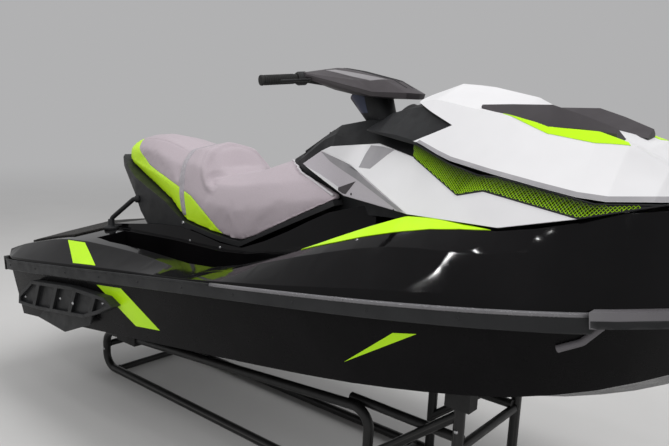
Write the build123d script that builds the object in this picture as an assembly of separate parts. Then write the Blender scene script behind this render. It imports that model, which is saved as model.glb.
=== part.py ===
from build123d import *
from math import cos, radians, sin
import os

# Personal watercraft on its floor stand, in millimetres.
# Craft frame: S runs forward from the stern, Y to port, Z up from the keel's base line.
# Everything is drawn in the craft frame and then pitched bow up onto the stand.

# Attitude on the stand
PITCH = 7.6
KEEL_LIFT = 124.0

# Fits
SEAT_GAP = 0.3
MOVE_GAP = 6.0
EPS = 0.05
# Reach of the plain blocks that only cut or keep
FAR = 4000.0

# Hull and deck
SHEER = 430.0
TRANSOM_S = 150.0
STERN_S = 30.0
STEM_S = 3345.0

# Half breadth at the joint between hull and deck: s, y
EDGE = [(STERN_S, 546), (TRANSOM_S, 590), (560, 604), (1500, 606), (2000, 606), (2330, 596), (2660, 556),
        (2870, 500), (2960, 460), (3060, 400), (3200, 280), (3300, 155), (STEM_S, 48)]
# Hull stations: s, keel z, strake y, strake z, chine y, chine z
HULL = [
    (TRANSOM_S, 0, 300, 92, 552, 178),
    (560, 0, 300, 92, 562, 178),
    (1400, 0, 300, 94, 566, 180),
    (2000, 0, 292, 98, 556, 180),
    (2330, 10, 270, 106, 515, 178),
    (2660, 52, 212, 130, 415, 180),
    (2870, 110, 160, 168, 330, 212),
    (2960, 146, 134, 194, 286, 236),
    (3060, 194, 108, 232, 234, 268),
    (3200, 282, 66, 304, 146, 330),
    (3300, 358, 34, 372, 74, 386),
    (STEM_S, 404, 12, 408, 26, 412),
]
# Deck stations: s, lip inset, lip z, ridge y, ridge z, shelf y, shelf z, crown z
DECK = [
    (STERN_S, 8, 468, 528, 494, 264, 532, 566),
    (TRANSOM_S, 7, 466, 514, 520, 256, 552, 578),
    (560, 7, 464, 500, 556, 300, 576, 592),
    (1060, 7, 464, 500, 520, 300, 540, 560),
    (1500, 6, 458, 506, 466, 300, 500, 520),
    (1980, 8, 470, 508, 545, 430, 572, 580),
    (2330, 12, 484, 495, 592, 374, 666, 668),
    (2660, 10, 486, 500, 585, 456, 640, 645),
    (2870, 10, 484, 455, 600, 426, 664, 670),
    (2960, 10, 482, 420, 606, 390, 684, 690),
    (3060, 10, 480, 364, 592, 334, 684, 690),
    (3200, 8, 480, 250, 570, 216, 650, 655),
    (3300, 7, 480, 132, 540, 102, 596, 600),
    (STEM_S, 4, 476, 38, 510, 28, 536, 540),
]
# Stations that hull, deck and outline share
STATIONS = [STERN_S, 90, TRANSOM_S, 280, 420, 500, 560, 720, 900, 1060, 1220, 1360, 1500, 1660, 1820, 1980,
            2090, 2210, 2330, 2440, 2550, 2660, 2770, 2870, 2960, 3060, 3130, 3200, 3250, 3300, STEM_S]
STATION_STEP = 130.0

# Footwells: plan corners (s, y) of the tub on one side, and its floor
WELL_PLAN = [(680, 282), (1990, 282), (2050, 330), (2050, 420), (1900, 452), (820, 452), (680, 430)]
WELL_FLOOR = 352.0
MAT_THICK = 8.0
MAT_MARGIN = 8.0

# Pump bay, intake and engine bay in the hull
PUMP_Z = 128.0
BAY_END_S = 640.0
BAY_HALF = 128.0
BAY_TOP = 332.0
BAY_LOW_TOP = 250.0
BAY_STEP_S = 372.0
INTAKE_END_S = 1080.0
INTAKE_HALF = 82.0
RAMP_Z = (10.0, 210.0)
ENGINE = (640.0, 400.0, 370.0)
ENGINE_S = 1290.0
ENGINE_Z = 112.0
ENGINE_BAY = (740.0, 460.0, 388.0)
# How far the bay's middle lies aft of the engine's
ENGINE_SHIFT = 10.0

# Jet pump
DUCT_R = 92.0
DUCT_BORE = 80.0
DUCT_END_S = 636.0
SHAFT_SEAT = 44.0
SHAFT_IN = 40.0
HUB_R = 33.0
IMPELLER_S = (500.0, 580.0)
IMPELLER_R = 74.0
IMPELLER_BLADES = 4
BLADE_TWIST = 64.0
BLADE_STEPS = 5
BLADE_THICK = 5.0
BLADE_ROOT = 4.0
STATOR_S = (390.0, 482.0)
STATOR_VANES = 7
SHAFT_R = 13.0
SHAFT_END_S = 1262.0
VENTURI_S = 250.0
VENTURI_BORE = 46.0
NOZZLE_PIVOT_S = 214.0
NOZZLE_END_S = 96.0
NOZZLE_R = (64.0, 50.0)
NOZZLE_BORE = (58.0, 43.0)
NOZZLE_START_S = 222.0
NOZZLE_PIN_R = 6.0
NOZZLE_PIN_Z = 69.5
NOZZLE_PIN_LONG = 16.0
GATE_R = 186.0
GATE_WALL = 6.0
GATE_HALF = 112.0
GATE_ARC = (64.0, 122.0)
GATE_PIVOT = (262.0, 128.0)
GATE_HUB_R = 26.0
GATE_NECK = 24.0
GATE_PIN_R = 8.0
GATE_PIN_LONG = 20.0
# Pump housing: taper down to the venturi, rear flange, ears for the nozzle's pins, arms for the gate's pins
TAPER_S = (276.0, 320.0)
TAPER_R = 53.0
TAPER_BORE = 47.0
VENTURI_R = 52.0
FLANGE_R = 116.0
FLANGE_THICK = 8.0
EAR_S = (202.0, 312.0)
EAR_Z = 74.0
EAR_WIDE = 26.0
EAR_THICK = 8.0
ARM_S = (244.0, 344.0)
ARM_Y = 98.0
ARM_THICK = 14.0
ARM_HIGH = 34.0
VANE_THICK = 3.0

# Rub rails, bow bumper and corner caps
RAIL_DEEP = 15.0
RAIL_Z = (406.0, 454.0)
RAIL_END_S = 2918.0
BOW_DEEP = 34.0
BOW_Z = (424.0, 464.0)
BOW_RIB = [(2948, 462, 436), (2880, 456, 374), (2820, 462, 350)]
BOW_RIB_R = 10.0
BOW_RIB_BEND = 30.0
CAP_S = 96.0
CAP_EXTRA = 6.0
CAP_IN = 470.0

# Sponsons: side outline (s, z) on the hull's side, how far they stand proud of its widest place, and the fin
# below as corners: s, how far in from the sponson's face, z
SPONSON = [(284, 258), (296, 300), (432, 376), (773, 376), (1034, 352), (1086, 317), (970, 277), (864, 250),
           (466, 247)]
SPONSON_PROUD = 28.0
SPONSON_DEEP = 74.0
SPONSON_RIBS = 4
SPONSON_FRAME = 15.0
RIB_WIDE = 26.0
RIB_SLOPE = 0.62
POCKET_IN = 16.0
FIN = [(399, 34, 196), (500, 36, 262), (880, 36, 262), (853, 34, 212), (644, 28, 156)]
FIN_THICK = 8.0

# Seat stations: s, low y, low z, side y, side z, shoulder y, shoulder z, top y, top z, crown z
SEAT = [
    (432, 48, 930, 50, 942, 44, 962, 26, 972, 974),
    (470, 82, 908, 86, 930, 78, 975, 48, 1000, 1006),
    (520, 104, 886, 112, 915, 104, 968, 66, 1010, 1020),
    (607, 124, 848, 136, 890, 126, 960, 82, 1016, 1034),
    (720, 152, 802, 166, 860, 150, 945, 96, 1004, 1022),
    (834, 182, 755, 194, 830, 172, 920, 108, 982, 1000),
    (936, 202, 709, 212, 790, 186, 885, 118, 950, 966),
    (1000, 218, 664, 220, 760, 186, 868, 120, 925, 944),
    (1060, 228, 624, 228, 740, 192, 868, 128, 930, 950),
    (1120, 234, 606, 234, 725, 196, 862, 134, 930, 954),
    (1170, 236, 594, 236, 710, 200, 835, 130, 905, 925),
    (1220, 238, 582, 238, 690, 205, 785, 126, 830, 838),
    (1270, 240, 570, 240, 680, 208, 768, 120, 812, 822),
    (1370, 246, 552, 244, 665, 208, 762, 116, 812, 822),
    (1434, 250, 544, 246, 660, 206, 762, 110, 816, 828),
    (1520, 247, 566, 243, 668, 202, 768, 96, 836, 856),
    (1600, 243, 595, 238, 680, 196, 768, 84, 840, 862),
    (1700, 234, 632, 228, 700, 185, 762, 115, 800, 806),
    (1800, 220, 668, 214, 712, 190, 745, 157, 762, 764),
    (1900, 202, 704, 200, 716, 192, 725, 180, 728, 729),
]
# Seat base: back and underside (s, z) from the front to the tail, tail top, and plan (s, half y)
BASE_UNDER = [(1906, 684), (1434, 522), (1314, 538), (1120, 584), (1040, 560), (760, 604), (700, 660), (655, 735),
              (520, 832), (440, 880), (384, 928)]
BASE_TAIL = (392, 940)
BASE_PLAN = [(384, 56), (440, 104), (520, 140), (660, 196), (800, 222), (960, 236), (1120, 240), (1434, 252),
             (1600, 245), (1906, 204)]

# Pedestal stations: s, foot y, top y, top z
PEDESTAL = [(520, 262, 236, 600), (1040, 268, 240, 596), (1310, 270, 244, 532), (1440, 270, 244, 518),
            (1700, 268, 240, 590), (1900, 270, 232, 662), (2110, 276, 220, 690)]

# Cowl, one side: named corners (s, y, z)
COWL_NOSE = (1668, 100, 842)
COWL_KNEE_TOP = (1786, 122, 886)
COWL_KNEE_MID = (2004, 222, 828)
COWL_KNEE_LOW = (1958, 212, 720)
COWL_APEX = (2326, 372, 674)
COWL_TOP_A = (1860, 150, 900)
COWL_TOP_B = (2116, 200, 896)
COWL_TOP_C = (2292, 262, 843)
COWL_NOTCH = (2502, 370, 729)
COWL_CREST = (2600, 402, 742)
COWL_TIP = (2872, 440, 673)
COWL_FOOT = (2664, 452, 648)
MESH_LOW_FRONT = (3056, 352, 700)
# Hood's lower edge over the mesh panel, one side: s, y, z from its aft tip forwards
HOOD_EDGE = [(2312, 290, 896), (2455, 322, 826), (2560, 352, 792), (2625, 362, 784), (2900, 408, 714)]
PANEL_THICK = 9.0
# Slots through the mesh panels
MESH_S = (2338.0, 2872.0)
MESH_SLOTS = 25
MESH_SLOT = 13.0
MESH_LEAN = 26.0
MESH_EDGE = 8.0

# Steering
STEER_PIVOT = (1985.0, 1010.0)
STEER_LEAN = 24.0
STEM_R = 50.0
STEM_FOOT = 45.0
STEM_HIGH = 145.0
STEM_FLARE = 12.0
SPIGOT_R = 16.0
SPIGOT_LONG = 105.0
GRIP_END = (1766.0, 392.0, 1138.0)
GRIP_IN = (1816.0, 252.0, 1146.0)
GRIP_R = 17.0
BAR_R = 11.5
BAR_MID = (1950.0, 70.0, 1106.0)
BAR_BEND = 40.0
GRIP_CAP = 4.0
LEVER = [(1846, 236, 1140), (1878, 262, 1134), (1838, 372, 1128)]
LEVER_BEND = 14.0
LEVER_R = 5.0

# Stand
TUBE_R = 19.0
STAND_Y = 222.0
STAND_REAR_X = 330.0
STAND_LEG_X = 2022.0
STAND_POST_X = 2376.0
STAND_POST_TOP = 478.0
STAND_REAR_Z = 206.0
STAND_LEG_Z = 348.0
STAND_BEND = 72.0
BRACE_R = 17.0
BRACE_LOW_Z = 168.0
BRACE_DROP = 24.0
STRUT_IN = 34.0
STRUT_AFT = 110.0
STRUT_Z = 352.0
CROSS_R = 16.0
# Crossbars: x, z
CROSSBARS = [(STAND_REAR_X + 90, TUBE_R), (STAND_REAR_X, 132), (STAND_LEG_X - 60, TUBE_R), (STAND_POST_X, 330)]
# Pads under the hull: x, foot z, top z, length
PADS = [(540, 200, 300, 150), (STAND_POST_X, STAND_POST_TOP, 580, 90)]
PAD_WIDE = 54.0

# Bow bin under the hood
BIN_S = (2480.0, 3000.0)
BIN_HALF = (230.0, 150.0)
BIN_FLOOR = 444.0
BIN_WALL = 4.0
BIN_GAP = 2.0
BIN_RIM_Z = 700.0

# Hood stations: s, edge y, edge z, shoulder y, shoulder z, crown z; the first two carry only the cowl below
HOOD = [
    (2040, 200, 952, 100, 990, 1000),
    (2130, 236, 934, 140, 1012, 1032),
    (2220, 262, 918, 160, 1020, 1058),
    (2335, 294, 886, 184, 1022, 1081),
    (2403, 310, 850, 200, 1004, 1068),
    (2455, 322, 828, 213, 988, 1056),
    (2600, 358, 788, 230, 948, 1008),
    (2740, 386, 752, 232, 903, 920),
    (2850, 400, 724, 208, 884, 862),
    (2924, 400, 712, 200, 850, 822),
    (3018, 345, 706, 180, 782, 768),
    (3060, 280, 700, 150, 745, 738),
    (3088, 214, 694, 120, 700, 702),
]
HOOD_WALL = 6.0
HOOD_LIP = 40.0
# Share of the wall by which the skin moves in at its shoulder
HOOD_TURN = 0.6
# Side outline (s, z) of what is cut off behind the hood's aft edge
HOOD_AFT = [(2030, 860), (2312, 894), (2427, 934), (2236, 1036), (2219, 1056), (2219, 1130), (2030, 1130)]
HOOD_PIVOT = (3094.0, 704.0)
PIN_R = 5.0
LUG_Y = 73.0
LUG_R = 11.0
LUG_WIDE = 30.0
LUG_LONG = 48.0
HINGE_HALF = 90.0
HINGE_ARM_Y = 36.0
HINGE_ARM = 16.0
PLATFORM_S = (90, 500)
PLATFORM_HALF = 440.0
BOW_EYE = (3326.0, 334.0)
EYE_BORE = 10.0
BOW_EYE_R = 26.0
BOW_EYE_TAIL = 92.0
BOW_EYE_THICK = 12.0
# Ride plate and intake grate under the pump
PLATE_S = 236.0
PLATE_Z = (2.0, 12.0)
PLATE_FINS_Y = (-64.0, 0.0, 64.0)
PLATE_FIN = (380.0, 8.0, 6.0)
PLATE_FIN_S = 436.0
GRATE_Z = (-2.0, 10.0)
GRATE_ENDS = (20.0, 40.0)
GRATE_BAR = 10.0
GRATE_BARS_Y = (-76.0, -40.0, 0.0, 40.0, 76.0)
# Grab handle: line through its corners, from inside the seat base to below the deck's top
HANDLE = [(716, 176, 716), (668, 216, 716), (560, 272, 630), (548, 276, 560)]
HANDLE_BEND = 20.0
HANDLE_R = 11.0
STERN_EYE_Y = 330.0
STERN_EYE_Z = 250.0
EYE_R = 22.0
EYE_THICK = 10.0

# Mirror pod stations on the hood: s, low y, low z, top y, top z
POD = [(2504, 206, 984, 198, 990), (2600, 226, 943, 200, 982), (2720, 236, 908, 200, 969),
       (2800, 216, 897, 190, 934), (2888, 190, 876, 176, 889)]
POD_ROOT = 70.0
POD_SINK = 30.0

# Instrument cowl ahead of the bars: side outline (s, z)
GAUGE_GAP = 14.0
GAUGE_SIDE = [(2062, 944), (2062, 966), (2120, 998), (2184, 1016), (2196, 1046), (2240, 1110),
              (2424, 1110), (2424, 852), (2240, 898)]

# Cowl core stations: s, foot y, foot z, side y, side z, top y, top z, deck y, deck z, crown z
CORE = [
    (1572, 40, 660, 44, 800, 44, 840, 36, 862, 866),
    (1668, 84, 640, 88, 838, 80, 872, 60, 892, 896),
    (1786, 104, 640, 109, 880, 100, 926, 72, 948, 954),
    (1860, 132, 640, 137, 896, 118, 944, 78, 978, 984),
    (2004, 190, 650, 208, 822, 162, 893, 92, 986, 992),
    (2116, 250, 655, 260, 766, 187, 888, 104, 968, 976),
    (2292, 338, 655, 344, 682, 248, 834, 140, 930, 944),
    (2440, 378, 640, 384, 648, 288, 772, 150, 880, 900),
]
LID_S = (1650.0, 1806.0)
LID_HALF = 58.0
LID_THICK = 12.0
LID_PROUD = 2.0
LID_LEDGE = 8.0
LID_PIN_R = 3.0
LID_PIN_IN = 10.0
LID_PIN_OUT = 14.0
POCKET_DEEP = 70.0

# Steering cover: side outlines (s, z) at growing half widths y
COVER = [
    (0, [(1800, 1148), (1808, 1190), (1840, 1196), (1916, 1176), (2073, 1124), (2160, 1066), (2152, 1046),
         (2010, 1064), (1900, 1092)]),
    (60, [(1802, 1146), (1808, 1188), (1840, 1194), (1912, 1174), (2055, 1124), (2146, 1068), (2138, 1050),
          (2000, 1066), (1896, 1094)]),
    (130, [(1806, 1142), (1812, 1178), (1838, 1184), (1900, 1162), (1985, 1126), (2046, 1080), (2038, 1066),
           (1960, 1080), (1880, 1104)]),
    (250, [(1814, 1152), (1818, 1160), (1826, 1166), (1836, 1166), (1846, 1162), (1852, 1156), (1850, 1150),
           (1840, 1148), (1826, 1148)]),
]


def mid(a, b, t):
    return a + (b - a) * t


def row_at(table, s):
    """The table's row at station s, along smooth cubics between its own rows."""
    i = 0
    while i < len(table) - 2 and s > table[i + 1][0]:
        i += 1
    near = [table[max(i - 1, 0)], table[i], table[i + 1], table[min(i + 2, len(table) - 1)]]
    return (s,) + tuple(hermite(*near, col, s) for col in range(1, len(table[0])))


def fair(table, step):
    """Add stations between the table's rows, so that the loft runs fair."""
    stations = [table[0][0]]
    for a, b in zip(table, table[1:]):
        count = max(1, round((b[0] - a[0]) / step))
        stations += [mid(a[0], b[0], k / count) for k in range(1, count + 1)]
    return [row_at(table, s) for s in stations]


def hermite(p0, p1, p2, p3, col, s):
    """Cubic through p1 and p2 with slopes from their neighbours, in the table's column."""
    h = p2[0] - p1[0]
    t = (s - p1[0]) / h
    m1 = (p2[col] - p0[col]) / (p2[0] - p0[0])
    m2 = (p3[col] - p1[col]) / (p3[0] - p1[0])
    return ((2 * t**3 - 3 * t**2 + 1) * p1[col] + (t**3 - 2 * t**2 + t) * h * m1
            + (3 * t**2 - 2 * t**3) * p2[col] + (t**3 - t**2) * h * m2)


def across(s, half):
    """Closed section at station s from a half outline of (y, z), mirrored to both sides."""
    points = [p for p in half] + [(-y, z) for y, z in reversed(half) if y > EPS]
    return Plane.YZ.offset(s) * Polygon(*points, align=None)


def side(points, half_width):
    """Solid from a side outline of (s, z), as wide as half_width to each side."""
    face = Plane.XZ * Polygon(*points, align=None)
    return extrude(face, half_width, both=True)


def plan(points, z_low, z_high):
    """Solid from a plan outline of (s, y) between two heights."""
    return extrude(Pos(0, 0, z_low) * Polygon(*points, align=None), z_high - z_low, dir=(0, 0, 1))


def block(s_low, s_high, y_low, y_high, z_low, z_high):
    """Box between two corners."""
    return plan([(s_low, y_low), (s_high, y_low), (s_high, y_high), (s_low, y_high)], z_low, z_high)


def both(solid):
    """The piece and its twin across the centre plane."""
    return Compound([solid, mirror(solid, Plane.XZ)])


def tube(a, b, radius):
    """Round bar from point a to point b."""
    start = Vector(*a)
    run = Vector(*b) - start
    return extrude(Plane(origin=start, z_dir=run) * Circle(radius), run.length)


def path_tube(points, bend, radius, bore=0.0):
    """Tube along straight runs joined by arcs."""
    line = FilletPolyline(*[Vector(*p) for p in points], radius=bend)
    ring = Plane(origin=line @ 0, z_dir=line % 0) * Circle(radius)
    if bore:
        ring -= Plane(origin=line @ 0, z_dir=line % 0) * Circle(bore)
    return sweep(ring, path=line)


def facets(corners, triangles, shift):
    """Closed panel: outer triangles, the same triangles moved by shift, and walls round the rim."""
    outer = [Vector(*p) for p in corners]
    inner = [p + Vector(*shift) for p in outer]
    faces = []
    edges = {}
    for tri in triangles:
        faces.append(Face(Wire.make_polygon([outer[i] for i in tri])))
        faces.append(Face(Wire.make_polygon([inner[i] for i in tri])))
        for i in range(3):
            pair = (tri[i], tri[(i + 1) % 3])
            key = tuple(sorted(pair))
            edges[key] = edges.get(key, 0) + 1
    for (i, j), uses in edges.items():
        if uses == 1:
            faces.append(Face(Wire.make_polygon([outer[i], outer[j], inner[j], inner[i]])))
    solid = Solid(Shell(faces))
    return solid if solid.volume > 0 else -solid


def edge_y(s):
    return row_at(EDGE, s)[1]


def hull_sections():
    for s, keel, sy, sz, cy, cz in [row_at(HULL, s) for s in STATIONS if s >= TRANSOM_S]:
        yield across(s, [(0, keel), (sy, sz), (cy, cz), (edge_y(s), SHEER)])


def deck_sections():
    for s, inset, lz, ry, rz, hy, hz, crown in [row_at(DECK, s) for s in STATIONS]:
        yield across(s, [(edge_y(s), SHEER), (edge_y(s) - inset, lz), (ry, rz), (hy, hz), (0, crown)])


def outline(grow):
    """Plan outline at the joint between hull and deck, grown outwards by grow at mitred corners."""
    port = [(s, edge_y(s)) for s in STATIONS]
    ring = [Vector(*p) for p in port + [(s, -y) for s, y in reversed(port)]]
    grown = []
    for i, point in enumerate(ring):
        before = (point - ring[i - 1]).normalized()
        after = (ring[(i + 1) % len(ring)] - point).normalized()
        out = Vector(-before.Y - after.Y, before.X + after.X).normalized()
        grown.append(point + out * (grow / out.dot(Vector(-before.Y, before.X))))
    return Polygon(*[(p.X, p.Y) for p in grown], align=None)


def wells(floor):
    return both(plan(WELL_PLAN, floor, FAR))


def standing(sizes, s):
    """Box of the given length, width and height, standing on the engine's bed with its middle at station s."""
    return Pos(s, 0, ENGINE_Z) * Box(*sizes, align=(Align.CENTER, Align.CENTER, Align.MIN))


def engine_bay():
    return standing(ENGINE_BAY, ENGINE_S + ENGINE[0] / 2 - ENGINE_SHIFT)


def make_hull():
    body = loft(list(hull_sections()), ruled=True)
    body -= wells(WELL_FLOOR)
    for end, top in ((BAY_STEP_S, BAY_TOP), (BAY_END_S, BAY_LOW_TOP)):
        body -= block(0, end, -BAY_HALF, BAY_HALF, -FAR, top)
    ramp = [(BAY_END_S - 1, -FAR), (INTAKE_END_S, -FAR), (INTAKE_END_S, RAMP_Z[0]),
            (BAY_END_S - 1, RAMP_Z[1])]
    body -= side(ramp, INTAKE_HALF)
    body -= axial(BAY_END_S, ENGINE_S, SHAFT_R + MOVE_GAP)
    body -= engine_bay()
    return body


def make_deck():
    body = loft(list(deck_sections()), ruled=True)
    body -= wells(SHEER - 1)
    body += make_pedestal()
    body -= engine_bay()
    body -= plan(bin_plan(BIN_GAP), BIN_FLOOR, FAR)
    return body


def bin_plan(grow):
    """Plan of the bow bin's walls, grown outwards by grow."""
    return [(BIN_S[0] - grow, -BIN_HALF[0] - grow), (BIN_S[1] + grow, -BIN_HALF[1] - grow),
            (BIN_S[1] + grow, BIN_HALF[1] + grow), (BIN_S[0] - grow, BIN_HALF[0] + grow)]


def make_bin():
    tub = plan(bin_plan(0), BIN_FLOOR, BIN_RIM_Z)
    tub -= plan(bin_plan(-BIN_WALL), BIN_FLOOR + BIN_WALL, BIN_RIM_Z + 1)
    return tub


def make_pedestal():
    sections = []
    for s, foot, top_y, top_z in fair(PEDESTAL, STATION_STEP):
        sections.append(across(s, [(foot, SHEER), (top_y, top_z)]))
    return loft(sections, ruled=True)


def rim(deep, z_low, z_high, s_from, s_to):
    """Band that follows the outline at the joint between two stations."""
    ring = outline(deep) - outline(SEAT_GAP)
    band = extrude(Pos(0, 0, z_low) * ring, z_high - z_low, dir=(0, 0, 1))
    return band & block(s_from, s_to, -FAR, FAR, 0, FAR)


def make_bumper(hull, deck):
    """Moulded bumper round the bow, with a rib down the hull's side behind it."""
    body = rim(BOW_DEEP, *BOW_Z, RAIL_END_S + SEAT_GAP, STEM_S + 2 * BOW_DEEP)
    rib = path_tube(BOW_RIB, BOW_RIB_BEND, BOW_RIB_R)
    for sign in (rib, mirror(rib, Plane.XZ)):
        body += sign
    body = body - hull - deck
    return max(body.solids(), key=lambda part: part.volume)


def make_caps():
    """Rubber caps round the stern's two corners."""
    band = rim(RAIL_DEEP + CAP_EXTRA, RAIL_Z[0] - CAP_EXTRA, RAIL_Z[1] + CAP_EXTRA, -60, CAP_S - SEAT_GAP)
    return band - block(-CAP_S, 2 * CAP_S, -CAP_IN, CAP_IN, 0, FAR)


def make_sponsons(hull):
    """Ribbed sponson on the hull's side with its fin below, and its twin."""
    out = max(y for s, y in EDGE) + SPONSON_PROUD
    face = Plane.XZ.offset(-out)
    body = extrude(face * Polygon(*SPONSON, align=None), SPONSON_DEEP, dir=(0, -1, 0))
    inner = offset(Polygon(*SPONSON, align=None), -SPONSON_FRAME)
    pocket = extrude(face * inner, POCKET_IN, dir=(0, -1, 0))
    s_from = SPONSON[1][0]
    step = (SPONSON[5][0] - s_from) / (SPONSON_RIBS + 1)
    # The ribs run past the outline's lowest and highest points
    low = min(z for s, z in SPONSON) - SPONSON_FRAME
    high = max(z for s, z in SPONSON) + SPONSON_FRAME
    lean = RIB_SLOPE * (high - low) / 2
    for i in range(1, SPONSON_RIBS + 1):
        s = s_from + i * step
        rib = Polygon((s - lean, low), (s - lean + RIB_WIDE, low), (s + lean + RIB_WIDE, high), (s + lean, high),
                      align=None)
        pocket -= extrude(face * rib, SPONSON_DEEP, dir=(0, -1, 0))
    body -= pocket
    fin = [(s, out - inset, z) for s, inset, z in FIN]
    body += facets(fin, [(0, 1, 4), (1, 2, 4), (2, 3, 4)], (0, -FIN_THICK, 0))
    body -= hull
    return both(max(body.solids(), key=lambda part: part.volume))


def panel_pair(corners, triangles):
    one = facets(corners, triangles, (0, -PANEL_THICK, 0))
    return one, mirror(one, Plane.XZ)


def make_side_panels():
    corners = [COWL_KNEE_TOP, COWL_TOP_A, COWL_TOP_B, COWL_TOP_C, COWL_NOTCH, COWL_CREST, COWL_TIP, COWL_FOOT,
               COWL_APEX, COWL_KNEE_MID]
    return panel_pair(corners, [(0, 1, 9), (1, 2, 9), (2, 3, 9), (3, 8, 9), (3, 4, 8), (4, 7, 8), (4, 5, 7),
                                (5, 6, 7)])


def make_knee_panels():
    corners = [COWL_NOSE, COWL_KNEE_TOP, COWL_KNEE_MID, COWL_APEX, COWL_KNEE_LOW]
    return panel_pair(corners, [(0, 1, 4), (1, 2, 4), (2, 3, 4)])


def line_z(points, s):
    """Height at station s of a line through points whose first number is s and last is z."""
    for a, b in zip(points, points[1:]):
        if s <= b[0]:
            break
    return mid(a[-1], b[-1], (s - a[0]) / (b[0] - a[0]))


def make_mesh_panels():
    """Grille panels under the hood's edge, with a row of slanted slots."""
    upper = [(s, y, z - MOVE_GAP) for s, y, z in HOOD_EDGE]
    lower = [COWL_TOP_C, COWL_NOTCH, COWL_CREST, COWL_TIP, MESH_LOW_FRONT]
    corners = lower[:1] + upper + lower[1:]
    triangles = [(0, 1, 2), (0, 2, 6), (6, 2, 3), (6, 3, 7), (3, 4, 7), (7, 4, 5), (7, 5, 8), (8, 5, 9)]
    one = facets(corners, triangles, (0, -PANEL_THICK, 0))
    slots = []
    step = (MESH_S[1] - MESH_S[0]) / (MESH_SLOTS - 1)
    for k in range(MESH_SLOTS):
        s = MESH_S[0] + k * step
        low = max(line_z(lower, s), line_z(lower, s + MESH_SLOT)) + MESH_EDGE
        high = line_z(upper, s + MESH_LEAN + MESH_SLOT) - MESH_EDGE
        slot = Polygon((s, low), (s + MESH_SLOT, low), (s + MESH_LEAN + MESH_SLOT, high),
                       (s + MESH_LEAN, high), align=None)
        slots.append(extrude(Plane.XZ * slot, FAR, dir=(0, 1, 0)))
    one -= slots
    one = max(one.solids(), key=lambda part: part.volume)
    return one, mirror(one, Plane.XZ)


def make_core(deck):
    sections = []
    for s, fy, fz, sy, sz, ty, tz, dy, dz, crown in fair(CORE, STATION_STEP):
        sections.append(across(s, [(fy, fz), (sy, sz), (ty, tz), (dy, dz), (0, crown)]))
    core = loft(sections, ruled=True)
    core -= deck
    spigot_end = steer_plane().offset(-SPIGOT_LONG - MOVE_GAP)
    core -= extrude(spigot_end * Circle(SPIGOT_R + SEAT_GAP), SPIGOT_LONG)
    stem_foot = steer_plane().offset(-STEM_FOOT - SEAT_GAP)
    core -= extrude(stem_foot * Circle(STEM_R + MOVE_GAP), STEM_HIGH, taper=-STEM_FLARE)
    core -= side(lid_outline(0, POCKET_DEEP), LID_HALF - LID_LEDGE)
    core -= side(lid_outline(MOVE_GAP, 2 * LID_THICK), LID_HALF + MOVE_GAP)
    s, z = lid_pivot()
    core -= Pos(s, 0, z) * Rot(90, 0, 0) * Cylinder(LID_PIN_R + SEAT_GAP, 2 * (LID_HALF + LID_PIN_OUT + 2))
    return max(core.solids(), key=lambda part: part.volume)


def core_crown(s):
    """Height of the core's crown at station s."""
    rows = fair(CORE, STATION_STEP)
    for a, b in zip(rows, rows[1:]):
        if a[0] <= s <= b[0]:
            return mid(a[9], b[9], (s - a[0]) / (b[0] - a[0]))
    return rows[-1][9]


def lid_outline(grow, deep):
    """Side outline of the glovebox lid, from its top face down by deep."""
    (a, za), (b, zb) = lid_line()
    top = 2 * LID_THICK
    return [(a - grow, za + top), (a - grow, za - deep), (b + grow, zb - deep), (b + grow, zb + top)]


def lid_line():
    """Ends of the lid's top face, seen from the side."""
    return [(s, core_crown(s) + LID_PROUD) for s in LID_S]


def lid_pivot():
    s = LID_S[1] - LID_PIN_IN
    return s, line_z(lid_line(), s) - LID_THICK / 2


def make_lid():
    """Glovebox lid with its hinge pin."""
    (a, za), (b, zb) = lid_line()
    body = side([(a, za - LID_THICK), (a, za), (b, zb), (b, zb - LID_THICK)], LID_HALF)
    s, z = lid_pivot()
    return body + Pos(s, 0, z) * Rot(90, 0, 0) * Cylinder(LID_PIN_R, 2 * (LID_HALF + LID_PIN_OUT))


def make_hood_outer(drop):
    """Solid under the hood's skin, moved inwards by drop."""
    sections = []
    for s, ey, ez, sy, sz, crown in fair(HOOD, STATION_STEP):
        half = [(0, ez - HOOD_LIP), (ey - drop, ez - HOOD_LIP), (ey - drop, ez),
                (sy - drop * HOOD_TURN, sz - drop), (0, crown - drop)]
        sections.append(across(s, half))
    return loft(sections, ruled=True)


def hood_skirt():
    """Everything under the hood's lower edge, to be cut away."""
    sections = []
    for s, ey, ez, sy, sz, crown in fair(HOOD, STATION_STEP):
        half = [(ey + HOOD_LIP, ez - 2 * HOOD_LIP), (ey + HOOD_LIP, ez), (ey - HOOD_LIP, ez)]
        sections.append(across(s, half))
    return loft(sections, ruled=True)


def make_hood():
    outer = make_hood_outer(0)
    shell = outer - make_hood_outer(HOOD_WALL)
    shell -= hood_skirt()
    shell -= side(HOOD_AFT, 500)
    shell = max(shell.solids(), key=lambda part: part.volume)
    s, z = HOOD_PIVOT
    for sign in (1, -1):
        shell += Pos(s, sign * LUG_Y, z) * Rot(90, 0, 0) * Cylinder(LUG_R, LUG_WIDE)
        shell += Pos(s - LUG_LONG / 2, sign * LUG_Y, z - LUG_R / 4) * Box(LUG_LONG, LUG_WIDE, LUG_R)
    shell -= Pos(s, 0, z) * Rot(90, 0, 0) * Cylinder(PIN_R + SEAT_GAP, 3 * HINGE_HALF)
    shell -= Pos(s, 0, z) * Box(4 * LUG_R, 2 * (HINGE_ARM_Y + HINGE_ARM), 6 * LUG_R)
    return max(shell.solids(), key=lambda part: part.volume)


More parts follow.
